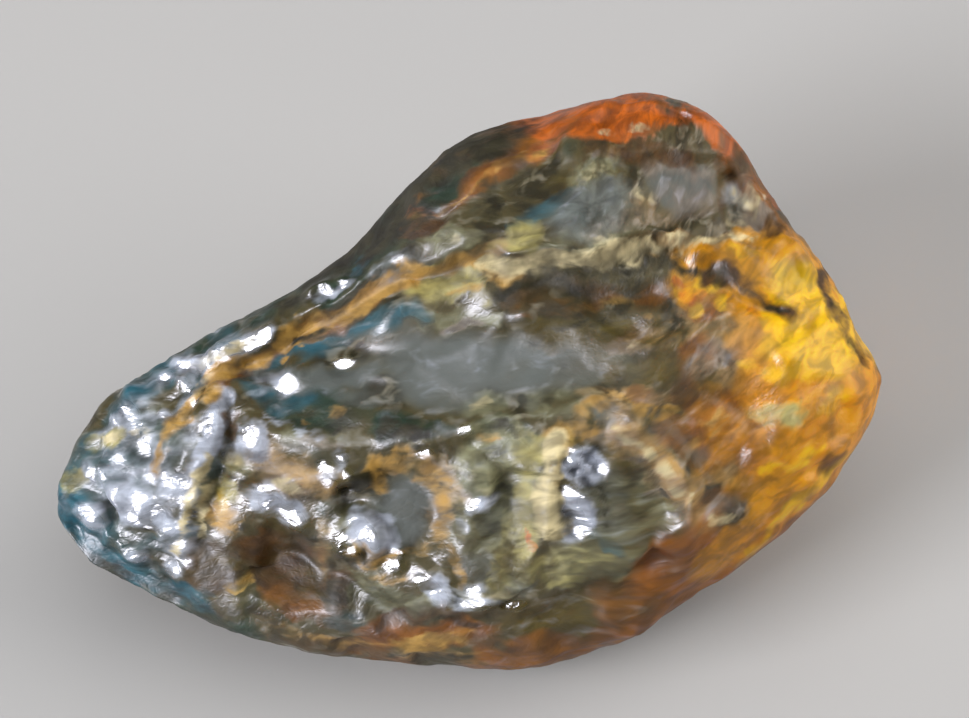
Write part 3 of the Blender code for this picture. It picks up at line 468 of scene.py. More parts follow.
        (7.3, -7.1, 2.3, 1.3, 30, 1.0), (-1.9, -9.3, 2.7, 0.6, 0, 0.85),
        (9.2, -6.7, 1.9, 0.9, 38, 0.9), (-6.9, -8.2, 1.5, 0.6, -10, 0.6),
        (-8.4, -6.1, 0.8, 0.5, -20, 0.3), (1.9, 9.7, 1.5, 0.5, 15, 0.6),
        (4.2, 3.2, 1.9, 0.3, 5, 0.4), (2.3, 2.6, 1.1, 0.2, 0, 0.4), (9.0, -1.5, 1.7, 1.3, 0, 0.8),
        (8.0, 0.8, 1.1, 1.3, 0, 0.4), (11.1, -2.1, 1.9, 1.7, 0, 0.9),
        (7.1, -1.9, 1.1, 0.6, -40, 0.6), (6.1, -0.4, 0.9, 0.5, 0, 0.4),
        (8.0, -2.5, 0.8, 1.1, 30, 0.5), (8.0, 3.3, 1.1, 0.9, -20, 0.5),
        (2.3, -10.3, 3.1, 0.5, 0, 0.6), (-9.0, -6.1, 0.6, 0.5, 0, 0.3),
        (5.4, -8.2, 1.9, 1.1, -20, 0.4), (12.3, -3.6, 1.9, 0.8, 42, 0.8),
        (-3.8, -10.1, 3.1, 0.5, 0, 0.4), (-6.9, -6.1, 0.8, 0.4, 0, 0.3),
        (-8.6, -5.7, 0.9, 0.4, -10, 0.4), (6.5, 3.3, 1.1, 0.4, 0, 0.4),
        (8.4, -4.8, 1.5, 0.8, 40, 0.5), (13.0, -2.7, 1.3, 0.5, 45, 0.9),
    ],
    # grey crust, and partly a painted reflection: the grey sheen over the pool
    "milk_and_sheen": [
        (-4.0, -0.4, 1.5, 0.5, 0, 0.6), (-1.5, 0.7, 2.5, 1.5, 0, 1.0),
        (1.0, 0.6, 2.1, 1.3, 0, 0.95), (3.3, 0.7, 1.5, 1.0, 0, 0.8),
        (-2.9, -4.7, 1.1, 1.4, 0, 1.0), (-3.3, 4.2, 1.5, 0.4, 22, 0.95),
        (-4.8, 3.4, 1.1, 0.3, 35, 0.6), (4.2, 6.5, 1.9, 1.0, 15, 0.75),
        (7.5, 7.5, 1.2, 0.8, 0, 1.0), (5.0, 1.1, 1.3, 0.4, -10, 0.45),
        (5.4, 0.6, 1.1, 0.8, 0, 0.35), (5.4, -4.8, 1.1, 0.9, 0, 0.35),
        (4.6, -3.3, 0.9, 0.8, 0, 0.5), (0.0, -6.7, 0.9, 0.8, 0, 0.4),
        (-5.4, -2.5, 0.9, 0.8, 0, 0.4), (4.2, -4.0, 0.7, 1.3, 0, 0.5),
        (9.9, 6.6, 0.8, 0.5, -20, 0.5), (-12.6, -3.3, 2.7, 2.3, 0, 0.6),
        (-12.1, -5.6, 1.8, 1.0, -40, 0.6), (-1.1, -3.3, 1.1, 0.6, 0, 0.4),
        (-6.9, -2.1, 1.1, 0.6, 0, 0.4), (-10.1, -2.1, 0.5, 1.1, 10, 0.4),
        (4.2, -2.1, 0.6, 0.7, 0, 0.5), (0.4, -4.8, 0.6, 0.8, 0, 0.5),
        (5.0, -4.4, 1.0, 1.3, 0, 0.5), (-0.4, -8.2, 1.5, 0.4, 0, 0.4),
        (1.5, -7.7, 0.8, 0.5, 0, 0.3), (4.6, -1.0, 0.6, 0.5, 0, 0.5),
        (-5.2, 0.2, 1.1, 0.5, 5, 0.5),
    ],
    # lilac-grey crust, and partly a painted sheen on the top facet and painted faint glints
    "mauve_and_sheen": [
        (7.5, 6.9, 1.3, 0.7, 0, 0.5), (9.7, 7.9, 0.6, 0.5, -20, 0.7),
        (10.3, 6.2, 0.8, 0.5, -10, 0.9), (4.6, 5.9, 1.1, 0.4, 20, 0.3),
        (9.3, -4.6, 1.0, 0.5, 0, 0.5), (10.0, 1.5, 1.0, 0.7, 0, 0.7), (8.9, 1.3, 0.8, 0.5, 0, 0.6),
        (-6.9, -6.9, 0.5, 0.2, 10, 0.5), (-0.6, 2.3, 0.8, 0.2, 0, 0.7),
        (5.4, 1.5, 1.5, 0.3, -15, 0.5), (8.0, 0.6, 1.0, 0.5, 18, 0.5),
        (14.4, 0.5, 0.8, 0.7, 0, 0.5), (-5.6, -2.1, 1.1, 0.3, -15, 0.4),
        (8.4, 6.9, 1.1, 0.5, 0, 0.4), (-6.9, -4.0, 1.0, 0.5, -15, 0.6),
        (-7.5, -3.3, 1.1, 0.6, -10, 0.5), (6.1, 6.1, 1.5, 0.4, 10, 0.4),
        (3.1, 1.5, 1.1, 0.3, 0, 0.3),
    ],
    # pale bluish crust, and partly a painted halo round the glints
    "pearl_and_glint_halo": [
        (-13.6, -1.8, 1.3, 0.8, 35, 0.7), (-12.6, -1.3, 0.8, 0.5, 30, 0.6),
        (-12.9, -4.2, 1.1, 0.8, -35, 1.0), (-11.7, -5.0, 0.7, 0.5, -35, 0.9),
        (-14.7, -3.3, 0.5, 0.4, 0, 0.7), (-10.9, -1.7, 0.5, 0.9, 20, 0.5),
        (-12.6, -3.3, 2.4, 2.0, 0, 0.5), (-11.1, -0.6, 1.1, 0.6, 35, 0.7),
        (-12.6, -0.8, 1.1, 0.5, 40, 0.35), (-9.4, -2.3, 1.1, 0.8, 0, 0.4),
        (-10.7, -5.2, 0.6, 1.1, 0, 0.5), (-14.6, -3.3, 0.6, 0.5, 0, 0.5),
        (-11.3, -3.6, 0.8, 0.7, 0, 0.7), (-12.1, -2.9, 0.9, 0.8, 0, 0.55),
        (-14.2, -2.1, 0.6, 0.5, 0, 0.6), (-11.9, 0.2, 1.3, 0.5, 35, 0.35),
        (-9.9, 1.3, 1.7, 0.5, 32, 0.8), (-8.6, -2.0, 0.7, 0.7, 0, 0.85),
        (-7.5, -4.5, 1.2, 0.6, -20, 0.9), (-4.0, -5.5, 1.0, 0.7, -35, 0.95),
        (0.0, -4.2, 0.6, 0.4, 30, 0.75), (-1.6, -7.7, 0.8, 0.5, -38, 0.8),
        (-0.1, -8.2, 1.0, 0.3, -5, 0.7), (-3.1, -6.7, 0.5, 0.3, 0, 0.5),
        (3.8, -2.7, 0.8, 0.6, 0, 1.0), (3.6, -4.7, 0.6, 1.2, 0, 1.1),
        (-5.1, -2.7, 0.4, 0.4, 0, 0.6), (-5.7, -3.2, 0.5, 0.3, 0, 0.6),
        (-14.7, -5.0, 0.7, 0.4, -38, 0.6), (-12.8, -6.3, 0.5, 0.3, 0, 0.6),
        (-11.6, -6.9, 0.5, 0.3, 0, 0.6), (-5.7, 3.7, 1.0, 0.3, 35, 0.5),
        (-3.0, 4.8, 0.6, 0.2, 15, 0.4), (-0.6, -5.2, 0.3, 0.5, 0, 0.4),
        (9.6, 6.9, 0.8, 0.8, -20, 0.35), (-8.8, 1.7, 1.3, 0.3, 30, 0.6),
        (-8.3, 0.0, 0.9, 0.5, 20, 0.35), (-3.9, -5.8, 0.8, 0.5, -35, 0.5),
        (-0.7, -7.6, 1.1, 0.3, 8, 0.45), (-11.5, -6.1, 0.7, 0.8, 0, 0.45),
        (-9.9, 0.1, 0.5, 0.5, 0, 0.4),
    ],
    "honey": [
        (11.9, 3.3, 2.3, 1.9, -45, 1.3), (10.0, 4.0, 0.9, 0.5, -30, 0.9),
        (10.3, 4.4, 2.5, 0.8, 0, 1.0), (11.3, 5.2, 1.7, 0.5, -20, 1.0),
        (9.4, 4.9, 1.1, 0.4, 0, 0.8), (13.8, -0.2, 1.5, 2.3, 20, 1.0),
        (11.7, 0.0, 2.1, 1.5, 20, 1.1), (11.9, -2.1, 2.3, 1.3, 35, 0.75),
        (11.7, -4.0, 2.5, 0.8, 42, 0.85), (9.8, -5.9, 2.1, 0.7, 38, 0.7),
        (7.8, 3.6, 0.9, 0.6, -15, 0.85), (13.4, -2.1, 1.0, 1.5, 30, 0.8),
        (10.1, 1.7, 1.1, 0.8, 0, 0.7), (9.0, 4.7, 1.7, 0.6, 0, 1.1), (8.4, 3.8, 0.9, 0.8, 0, 0.6),
        (10.7, 2.9, 1.3, 1.3, 0, 1.1), (10.1, 3.3, 1.1, 0.8, 0, 0.9), (9.6, 4.7, 1.5, 0.5, 5, 0.8),
        (9.4, -1.7, 1.1, 1.5, 0, 0.4), (10.3, -3.6, 1.5, 0.9, 35, 0.6),
        (8.4, -3.3, 0.9, 0.8, 0, 0.35), (8.4, -0.6, 1.0, 0.9, 0, 0.4),
    ],
    # painted glow: the brightest yellow, standing in for light shining through the honey end
    "painted_glow": [
        (12.4, 1.9, 1.8, 1.6, -20, 1.1), (11.1, 2.5, 0.9, 0.8, 0, 0.7),
        (11.9, 0.8, 1.5, 0.6, 20, 0.7), (12.1, 3.3, 1.4, 1.1, -40, 1.0),
        (11.3, 1.5, 1.1, 0.5, 20, 0.75), (9.8, 4.9, 0.9, 0.3, -10, 0.4),
        (8.4, 3.9, 0.5, 0.3, -20, 0.8), (7.7, 3.6, 0.5, 0.3, 0, 0.8), (8.9, 3.2, 0.3, 0.3, 0, 0.7),
        (11.9, 1.0, 1.3, 0.5, 25, 0.7), (13.0, -0.6, 1.1, 0.3, 40, 0.6),
        (10.0, 0.9, 0.5, 0.3, 0, 0.4), (8.0, 2.9, 0.3, 0.3, 0, 0.5),
        (-9.6, -4.5, 0.3, 0.5, 0, 0.8),
    ],
    "lime": [
        (-1.0, 3.9, 1.6, 0.6, 20, 0.95), (-1.9, 3.6, 0.8, 0.4, 20, 0.7),
        (0.0, 3.4, 0.6, 0.6, 0, 0.5), (1.6, 5.6, 0.7, 0.8, 20, 1.0), (0.8, 5.2, 0.8, 0.3, 10, 0.5),
        (-9.6, -4.0, 0.7, 0.6, 0, 0.75), (-15.4, -3.7, 0.5, 0.6, 30, 0.8),
        (-13.9, -2.1, 0.8, 0.5, 20, 0.8), (-14.7, -2.3, 0.5, 0.4, 0, 0.5),
        (10.9, -1.1, 1.0, 0.5, 0, 0.85), (2.9, -6.9, 1.5, 0.8, 0, 0.6),
        (1.8, -3.3, 0.5, 1.9, 8, 0.6), (4.6, -6.7, 1.1, 0.5, 0, 0.4),
        (0.8, -7.1, 0.8, 0.8, 0, 0.5), (-9.2, -2.7, 0.5, 0.5, 0, 0.5),
        (-9.2, -7.6, 0.6, 0.3, 0, 0.7), (1.7, -6.7, 0.5, 0.5, 0, 0.5),
        (1.0, -5.9, 0.5, 1.1, 0, 0.4), (1.5, -4.2, 0.4, 0.8, 0, 0.5),
        (-1.5, 4.7, 0.6, 0.2, 20, 0.5), (7.1, 5.4, 0.5, 0.2, 0, 0.4),
    ],
    "rust": [
        (5.1, 9.6, 2.1, 0.8, 4, 1.1), (3.1, 10.0, 1.1, 0.5, 10, 0.9),
        (3.6, 10.1, 0.8, 0.4, 10, 0.8), (-2.2, 6.5, 0.5, 0.2, 15, 0.7),
        (7.8, 3.5, 0.5, 0.4, 0, 0.6), (7.4, 3.9, 0.3, 0.2, 0, 0.6), (1.7, -5.7, 0.2, 0.6, 15, 0.5),
        (1.3, 10.1, 0.8, 0.3, 15, 0.5), (10.1, 2.8, 0.3, 0.2, 0, 0.5),
        (8.9, 10.0, 0.5, 0.4, 0, 0.9), (5.0, 9.2, 1.8, 0.4, 4, 0.75),
    ],
    "ochre": [
        (-9.6, -4.9, 0.7, 0.5, 0, 0.75), (-9.2, -7.6, 0.6, 0.3, 0, 0.7),
        (-8.9, -7.2, 0.3, 0.2, 0, 0.5), (-1.9, -9.5, 1.5, 0.5, 6, 0.85),
        (-6.9, -3.3, 0.8, 0.3, -15, 0.3), (-5.5, -1.0, 0.5, 0.3, 0, 0.6),
        (-6.3, -1.3, 0.3, 0.2, 0, 0.5), (-6.7, 1.5, 0.2, 0.2, 0, 0.6),
        (-7.4, 1.1, 0.2, 0.2, 0, 0.7), (-0.4, 3.6, 0.9, 0.2, 10, 0.4),
        (3.1, -1.5, 1.0, 0.4, 0, 0.6), (4.6, 3.1, 1.5, 0.3, 5, 0.4),
        (5.4, -0.6, 1.1, 0.2, -20, 0.4), (6.6, -2.7, 1.3, 0.3, -45, 0.55),
        (6.5, -1.0, 0.9, 0.4, 0, 0.5), (6.5, 2.5, 0.8, 0.2, 0, 0.4),
        (-3.1, -7.2, 1.1, 0.3, 0, 0.4), (-9.8, -4.7, 0.4, 0.5, 0, 0.5),
        (0.5, -2.1, 0.5, 0.3, 0, 0.4), (8.4, -1.7, 1.1, 0.4, 40, 0.4),
        (-4.2, -6.3, 0.5, 0.5, 0, 0.6), (6.9, 4.8, 1.1, 0.2, 5, 0.4),
        (-6.5, 1.9, 0.9, 0.3, 25, 0.5),
    ],
    "bone": [
        (2.8, -5.3, 0.7, 0.5, 0, 1.0), (2.5, -4.4, 0.6, 1.2, 0, 1.0),
        (2.7, -2.5, 0.5, 1.1, 0, 0.8), (4.7, 9.2, 0.5, 0.2, 0, 0.5), (5.8, 9.3, 0.5, 0.2, 0, 0.5),
        (6.1, 6.9, 0.6, 0.4, 0, 0.3), (7.2, 5.5, 0.6, 0.3, 0, 0.6), (-9.2, -2.7, 0.5, 0.4, 0, 0.4),
        (-10.5, -0.2, 0.5, 0.3, 30, 0.5), (-14.0, -2.1, 0.5, 0.3, 0, 0.8),
        (-12.6, -1.7, 0.5, 0.3, 20, 0.5), (-9.5, 1.3, 1.5, 0.3, 32, 0.5),
        (4.2, 7.8, 0.5, 0.3, 0, 0.35), (0.1, -0.7, 0.5, 0.3, 0, 0.4),
        (4.6, 5.6, 0.9, 0.2, 10, 0.3), (-1.0, 5.4, 0.6, 0.3, 0, 0.3),
        (-7.3, -3.6, 0.8, 0.3, -15, 0.4), (0.8, -7.9, 1.1, 0.3, 0, 0.3),
        (-0.8, -6.7, 0.4, 0.4, 0, 0.4), (6.1, 1.5, 0.8, 0.2, 0, 0.3),
        (9.0, -5.2, 0.5, 0.3, 0, 0.4), (0.0, -3.3, 0.5, 0.5, 0, 0.3), (3.5, 4.6, 0.9, 0.3, 0, 0.4),
        (9.8, 6.6, 0.9, 0.8, -20, 0.45),
    ],
    # dark crust in the pits and the crack, and partly painted shade under the ledge and on the
    # upper-left flank
    "murk_and_shade": [
        (-4.4, -3.6, 0.5, 0.4, 0, 1.0), (-6.9, -7.7, 1.3, 0.6, -12, 0.3),
        (-5.4, -7.9, 0.6, 0.6, 0, 0.6), (-2.9, -1.7, 1.1, 0.4, -4, 0.8),
        (0.4, 6.8, 0.6, 0.5, 20, 0.8), (0.2, 7.5, 0.7, 0.4, 25, 0.5),
        (9.0, 3.9, 0.5, 0.3, -20, 0.5), (-9.9, -6.9, 1.0, 1.1, 0, 0.35),
        (-10.3, -5.9, 0.5, 0.7, 20, 0.45), (-5.2, -1.3, 0.9, 0.5, 0, 0.5),
        (-3.1, -0.9, 1.1, 0.3, 0, 0.4), (-2.3, -1.3, 0.5, 0.2, 0, 0.4),
        (-3.3, 6.0, 1.9, 0.8, 35, 0.95), (-6.9, 3.3, 1.5, 0.4, 32, 0.6),
        (0.8, 9.4, 1.5, 0.5, 22, 0.6), (-10.7, -8.4, 2.3, 0.3, -22, 0.4),
        (-14.6, -2.5, 0.8, 0.2, 45, 0.3), (1.5, 2.9, 0.6, 0.5, 0, 0.5),
        (-0.6, 2.3, 0.6, 0.2, 0, 0.4), (4.2, 4.5, 1.1, 0.2, 0, 0.5), (4.6, 3.7, 2.7, 0.5, 3, 0.65),
        (3.1, 2.5, 1.9, 0.4, 3, 0.5), (6.9, 2.9, 1.0, 0.5, 0, 0.4), (-2.5, 7.5, 1.5, 0.7, 45, 0.9),
        (7.5, 9.6, 0.3, 0.3, 0, 0.5), (-13.8, -7.5, 1.1, 0.3, -35, 0.6),
        (-5.7, 4.7, 1.9, 0.6, 35, 0.95), (-0.4, 9.0, 1.9, 0.8, 28, 0.9),
        (-1.5, 7.9, 1.1, 0.5, 40, 0.7), (1.0, -1.6, 0.6, 0.3, 0, 0.5),
        (7.7, -0.4, 0.5, 0.5, 0, 0.3), (-2.1, -8.6, 0.9, 0.2, 0, 0.6),
        (0.7, -4.0, 0.7, 1.7, 0, 0.35), (4.6, 7.5, 1.0, 0.8, 0, 0.3),
        (4.2, 3.3, 1.9, 0.5, 0, 0.45), (5.0, 2.5, 1.5, 0.4, 0, 0.35),
        (-3.1, 6.6, 1.7, 0.5, 42, 0.7), (6.5, 8.3, 1.5, 0.3, 0, 0.3),
        (-2.4, 4.9, 0.9, 0.4, 15, 0.5), (-4.6, 5.6, 2.3, 0.5, 40, 0.6),
        (-5.2, -9.0, 1.1, 0.4, -10, 0.4), (-2.3, -10.4, 2.7, 0.2, 0, 0.5),
    ],
}
MARK_WANDERS = ((0.6, 0.20), (0.25, 0.09))  # (size, reach) of the marks' own straying
BELL = 0.7  # makes a stroke half as strong at its half-width
# How the strokes swell and thin along their way, and each mark comes and goes: (size of the noise,
# how much, least, most).
UNEVEN, PATCHY = (0.9, 0.5, 0.4, 1.6), (1.5, 0.5, 0.5, 1.15)
FACE_MARKS = (-1.6, 0.2)  # where along n the face's own marks take over from those of the back
# A mark weaker than the first is taken down, by the second where its strength is nothing.
CLEAN_BELOW, CLEAN_GAP = 0.45, 0.45
WET_BLUE, WET_BEHIND = 0.3, 0.35  # how wet the blue third and the underside look
SCALY_BELOW_POOL, SCALY_PATCHES = 0.6, 1.4  # how scaly it is below the pool, and the patches' size
TOP_FACET_STILLNESS = 0.6

# -------------------------------------------------------- curves and noise


def smoothstep(low, high, value):
    """0 up to low, 1 from high on, and a smooth rise between. With low above high it falls."""
    t = np.clip((value - low) / (high - low), 0.0, 1.0)
    return t * t * (3.0 - 2.0 * t)


def closed_curve(corners, steps=24):
    """Points along the smooth closed curve through the corners, by the Catmull-Rom rule."""
    here = np.array(corners)
    before, after, beyond = np.roll(here, 1, 0), np.roll(here, -1, 0), np.roll(here, -2, 0)
    t = np.linspace(0.0, 1.0, steps, endpoint=False)[:, None, None]
    curve = here + 0.5 * (
        (after - before) * t
        + (2 * before - 5 * here + 4 * after - beyond) * t**2
        + (3 * here - before - 3 * after + beyond) * t**3
    )
    return curve.transpose(1, 0, 2).reshape(-1, 2)


def rim_reach(angle):
    """How far the rim of the face lies from its centre at each angle."""
    rim = closed_curve(OUTLINE)
    angles = np.arctan2(rim[:, 1], rim[:, 0])
    return np.interp(angle, angles, np.hypot(rim[:, 0], rim[:, 1]), period=2 * math.pi)


def along_path(places, path):
    """Each place's distance from the path, its side (1 on the left) and its share of the way."""
    corners = np.array(path)
    lengths = np.linalg.norm(np.diff(corners, axis=0), axis=1)
    started = np.concatenate([[0.0], np.cumsum(lengths)])
    distance = np.full(len(places), np.inf)
    side, share = np.ones(len(places)), np.zeros(len(places))
    for k, (start, end) in enumerate(itertools.pairwise(corners)):
        way = end - start
        t = np.clip((places - start) @ way / (way @ way), 0.0, 1.0)
        gap = places - start - t[:, None] * way
        reach = np.hypot(gap[:, 0], gap[:, 1])
        nearer = reach < distance
        distance[nearer] = reach[nearer]
        side[nearer] = np.where(way[0] * gap[:, 1] - way[1] * gap[:, 0] >= 0, 1.0, -1.0)[nearer]
        share[nearer] = ((started[k] + t * lengths[k]) / started[-1])[nearer]
    return distance, side, share


def hashed(places, seed):
    """A number from 0 to 1 for each whole-number cell, which looks random and never changes.

    The cell's three numbers and the seed, each times a large number of its own, are combined bit
    by bit, and then stirred by shifts and one more such number.
    """
    x, y, z = places.T
    stirred = x * 73856093 ^ y * 19349663 ^ z * 83492791 ^ seed * 40503
    for _ in range(2):
        stirred = ((stirred ^ (stirred >> 15)) * 2246822519) & 0xFFFFFFFF
    return (stirred ^ (stirred >> 13)) / float(0xFFFFFFFF)


def noise(places, seed):
    """Smooth noise of about -1 to 1: a random slope at each cell corner, blended between them.

    The blend goes by a curve of the fifth degree. Each use has a seed of its own, so that no two
    patterns agree.
    """
    base = np.floor(places).astype(np.int64)
    inside = places - base
    fade = inside**3 * (inside * (inside * 6.0 - 15.0) + 10.0)
    total = np.zeros(len(places))
    for corner in itertools.product((0, 1), repeat=3):
        at = base + corner
        slopes = np.stack([hashed(at, seed + k) * 2.0 - 1.0 for k in range(3)], axis=1)
        weight = np.prod(np.where(corner, fade, 1.0 - fade), axis=1)
        total += weight * np.sum(slopes * (inside - corner), axis=1)
    return total * 1.5


def strays(points, size, seed):
    """Two noises of one size side by side, to move places about along a and b."""
    return np.stack([noise(points / size, seed + k) for k in range(2)], axis=1)


def cells(places, seed):
    """Two patterns from one scatter of cell hearts.

    Lumps are 1 at each heart, and fall off with the square of the distance. Breaks give each cell
    a plane with its own slope, and each place takes the planes near it, the nearest counting most.
    """
    base = np.floor(places).astype(np.int64)
    nearest = np.full(len(places), np.inf)
    tilted, weights = np.zeros(len(places)), np.zeros(len(places))
    for step in itertools.product((-1, 0, 1), repeat=3):
        cell = base + step
        heart = cell + np.stack([hashed(cell, seed + k) for k in range(3)], axis=1)
        slopes = np.stack([hashed(cell, seed + 3 + k) - 0.5 for k in range(3)], axis=1)
        apart = np.sum((places - heart) ** 2, axis=1)
        nearest = np.minimum(nearest, apart)
        weight = np.exp(-BREAK_SHARPNESS * apart)
        tilted += weight * np.sum(slopes * (places - heart), axis=1)
        weights += weight
    return np.clip(1.0 - nearest, 0.0, 1.0), tilted / (weights + 1e-12)


# -------------------------------------------------------- the nugget's shape


def body(directions):
    """The bare pebble: each direction from its middle goes out to the rim's shape and the swell.

    Level with the rim it follows the rim's own curve, and above and below it a squarish ellipse.
    """
    x, y, z = directions.T
    level = np.hypot(x, y)
    fullness = (level**SQUARENESS + np.abs(z) ** SQUARENESS) ** (-1.0 / SQUARENESS)
    angle = np.arctan2(y, LENGTHWAYS * x)
    out = rim_reach(angle) * level * fullness
    a, b = out * np.cos(angle), out * np.sin(angle)
    lift = z * fullness
    swell = TIP_SHARE + (1.0 - TIP_SHARE) * smoothstep(TAPER_FROM, TAPER_TO, a)
    n = lift * swell * np.where(z > 0, FACE_RISE, UNDER_DEPTH)
    return np.stack([a, b, n], axis=1), lift


def wandered(points):
    """The (a, b) of each point, moved about a little, so that lines drawn there look broken."""
    return points[:, :2] + WANDER * strays(points, WANDER_SIZE, 51)


def over_oval(places, centre, half_length, half_width, tilt):
    """How far along and across a tilted oval each (a, b) lies, as shares of its half-axes."""
    turn = math.radians(tilt)
    a, b = (places - centre).T
    along = (a * math.cos(turn) + b * math.sin(turn)) / half_length
    across = (b * math.cos(turn) - a * math.sin(turn)) / half_width
    return along, across


def middle_of(share):
    """1 along the middle of a path, and down to 0 at its two ends."""
    return smoothstep(0.0, PATH_FADE, share) * smoothstep(1.0, 1.0 - PATH_FADE, share)


def face_relief(places):
    """How far the ledges, ridges, grooves, hollows and knobs raise the face at each (a, b).

    A ledge drops by a smooth step across its path, and that dies away by the bell curve of
    distance. Ridges and grooves are bell curves. Hollows and knobs are bowls and domes, a power of
    1 less the distance squared.
    """
    rise = np.zeros(len(places))
    for path, drop, width, felt in LEDGES:
        distance, side, share = along_path(places, path)
        below = smoothstep(-width, width, -side * distance)
        rise -= drop * middle_of(share) * below * np.exp(-((distance / felt) ** 2))
    for path, height, width in RIDGES:
        distance, _, share = along_path(places, path)
        rise += height * middle_of(share) * np.exp(-((distance / width) ** 2))
    for *oval, depth in HOLLOWS:
        along, across = over_oval(places, *oval)
        rise -= depth * np.clip(1.0 - along**2 - across**2, 0.0, 1.0) ** BOWL_POWER
    for a, b, radius, height in KNOBS:
        spread = np.sum((places - (a, b)) ** 2, axis=1) / radius**2
        rise += height * np.clip(1.0 - spread, 0.0, 1.0) ** KNOB_POWER
    return rise


def lump_share(points):
    """Where the skin is lumpy: 1 over the blue third and along the lower crest, 0 on the dome."""
    a, b, n = points.T
    blue_third = smoothstep(-7.5, -10.0, a)
    lower_crest = smoothstep(7.0, 4.0, a) * smoothstep(-1.5, -3.0, b) * smoothstep(-8.5, -7.0, b)
    return np.maximum(blue_third, LOWER_CREST_LUMPS * lower_crest) * smoothstep(-1.0, 1.0, n)


def above_crest(points):
    """1 above the crest that runs back from the blue tip, and 0 on the smooth slope below it."""
    a, b, _ = points.T
    crest = CREST_START[1] + CREST_SLOPE * (a - CREST_START[0])
    return np.maximum(smoothstep(*CREST_BAND, b - crest), smoothstep(*CREST_END, a))


def rough_place(points):
    """1 where small lumps and scales may stand: above the crest, and away from the bare place."""
    from_bare = np.hypot(*(points[:, :2] - BARE_PLACE).T)
    return above_crest(points) * smoothstep(BARE_TO, ROUGH_FROM, from_bare)


def in_hollow(points, which):
    """1 at the middle of one of the hollows, and down to 0 at its rim, by distance squared."""
    (a, b), half_length, half_width, _, _ = HOLLOWS[which]
    spread = ((points[:, 0] - a) / half_length) ** 2 + ((points[:, 1] - b) / half_width) ** 2
    return np.clip(1.0 - spread, 0.0, 1.0) * (points[:, 2] > 0)


def outward(points):
    """The direction from the core line out to each point."""
    start, end = (np.array([*corner, 0.0]) for corner in CORE_ENDS)
    way = end - start
    t = np.clip((points - start) @ way / (way @ way), 0.0, 1.0)
    out = points - start - t[:, None] * way
    return out / np.linalg.norm(out, axis=1, keepdims=True)


def grain_places(points):
    """Each point along, across and out of the streaks, which turn from one slant to the other."""
    from_turn = points[:, :2] - STREAK_TURN_AT
    low, high = (math.radians(slant) for slant in STREAK_SLANTS)
    turned = smoothstep(-STREAK_TURN_REACH, STREAK_TURN_REACH, from_turn[:, 0])
    slant = low + (high - low) * turned
    along = from_turn[:, 0] * np.cos(slant) + from_turn[:, 1] * np.sin(slant)
    across = from_turn[:, 1] * np.cos(slant) - from_turn[:, 0] * np.sin(slant)
    return np.stack([along, across, points[:, 2]], axis=1)


def streaks(points):
    """Noise drawn out along the grain: long streaks, from about -1 to 1."""
    drawn = grain_places(points) / (STREAK_LENGTH, STREAK_WIDTH, STREAK_LENGTH)
    return noise(drawn, 161) + FINER_HEIGHT * noise(drawn * FINER_STREAKS, 166)


def ripples(points):
    """Close sine waves across a slant, pushed about by noise, in patches: -1 to 1."""
    turn = math.radians(RIPPLE_SLANT)
    across = points[:, 1] * math.cos(turn) - points[:, 0] * math.sin(turn)
    for size, reach, seed in RIPPLE_PUSHES:
        across = across + reach * noise(points / size, seed)
    patchy = smoothstep(-0.3, 0.3, noise(points / RIPPLE_PATCHES, 149))
    return np.sin(across * (2 * math.pi / RIPPLE_WIDTH)) * patchy


def fine_relief(points):
    """The relief that the solids leave out: small breaks and lumps, grain, ripples and streaks."""
    small_lumps, _ = cells(points / SMALL_LUMP_SIZE, 83)
    _, small_breaks = cells(points / SMALL_BREAK_SIZE, 97)
    calm = np.maximum(in_hollow(points, POOL), HONEY_CALM * honey_end(points))
    lumpy = lump_share(points) * rough_place(points)
    rise = SMALL_LUMP_HEIGHT * lumpy * (small_lumps - LUMP_LEVEL)
    rise += RIPPLE_HEIGHT * lumpy * ripples(points)
    rise += SMALL_BREAK_HEIGHT * small_breaks * (1.0 - calm)
    rise += GRAIN_HEIGHT * noise(points / GRAIN_SIZE, 131) * (1.0 - GRAIN_CALM * calm)
    streaky = STREAK_LEAST + (1.0 - STREAK_LEAST) * honey_end(points)
    return rise + STREAK_HEIGHT * streaks(points) * streaky


def over_flat(places, flat):
    """How much each (a, b) belongs to the flat, from 1 in its middle to 0 at twice its reach.

    With it comes how far the flat has bowed out by there, which grows with the distance squared.
    """
    a, b, half_length, half_width, tilt = flat
    along, across = over_oval(places, (a, b), half_length, half_width, tilt)
    bow = FLATS_BOW * (half_length * along**2 + half_width * across**2)
    return smoothstep(2.0, 0.7, np.hypot(along, across)), bow


def with_flats(skin, places, lift):
    """The skin with each facet and small flat cut into it.

    There n follows a plane that faces the flat's way. It passes through the skin at the flat's
    middle, and bows out a little from it.
    """
    n = skin[:, 2]
    cuts = [(facet[:5], facet[5]) for facet in FACETS]
    cuts += [(flat, np.array(FLATS_FACE[:2]) / FLATS_FACE[2]) for flat in FLATS]
    for flat, faces in cuts:
        slope = -np.array(faces)
        share, bow = over_flat(places, flat)
        share = share * (lift > 0.0)
        gap = places - flat[:2]
        underneath = UNDER_FAR * (lift <= 0.0)
        middle = np.argmin(np.sum(gap**2, axis=1) + underneath)
        plane = n[middle] + gap @ slope - bow
        n = n + share * (plane - n)
    return np.stack([skin[:, 0], skin[:, 1], n], axis=1)


def honey_end(points):
    """1 over the thick clear end, and 0 over the rest."""
    return smoothstep(*HONEY_RISE, points[:, 0])


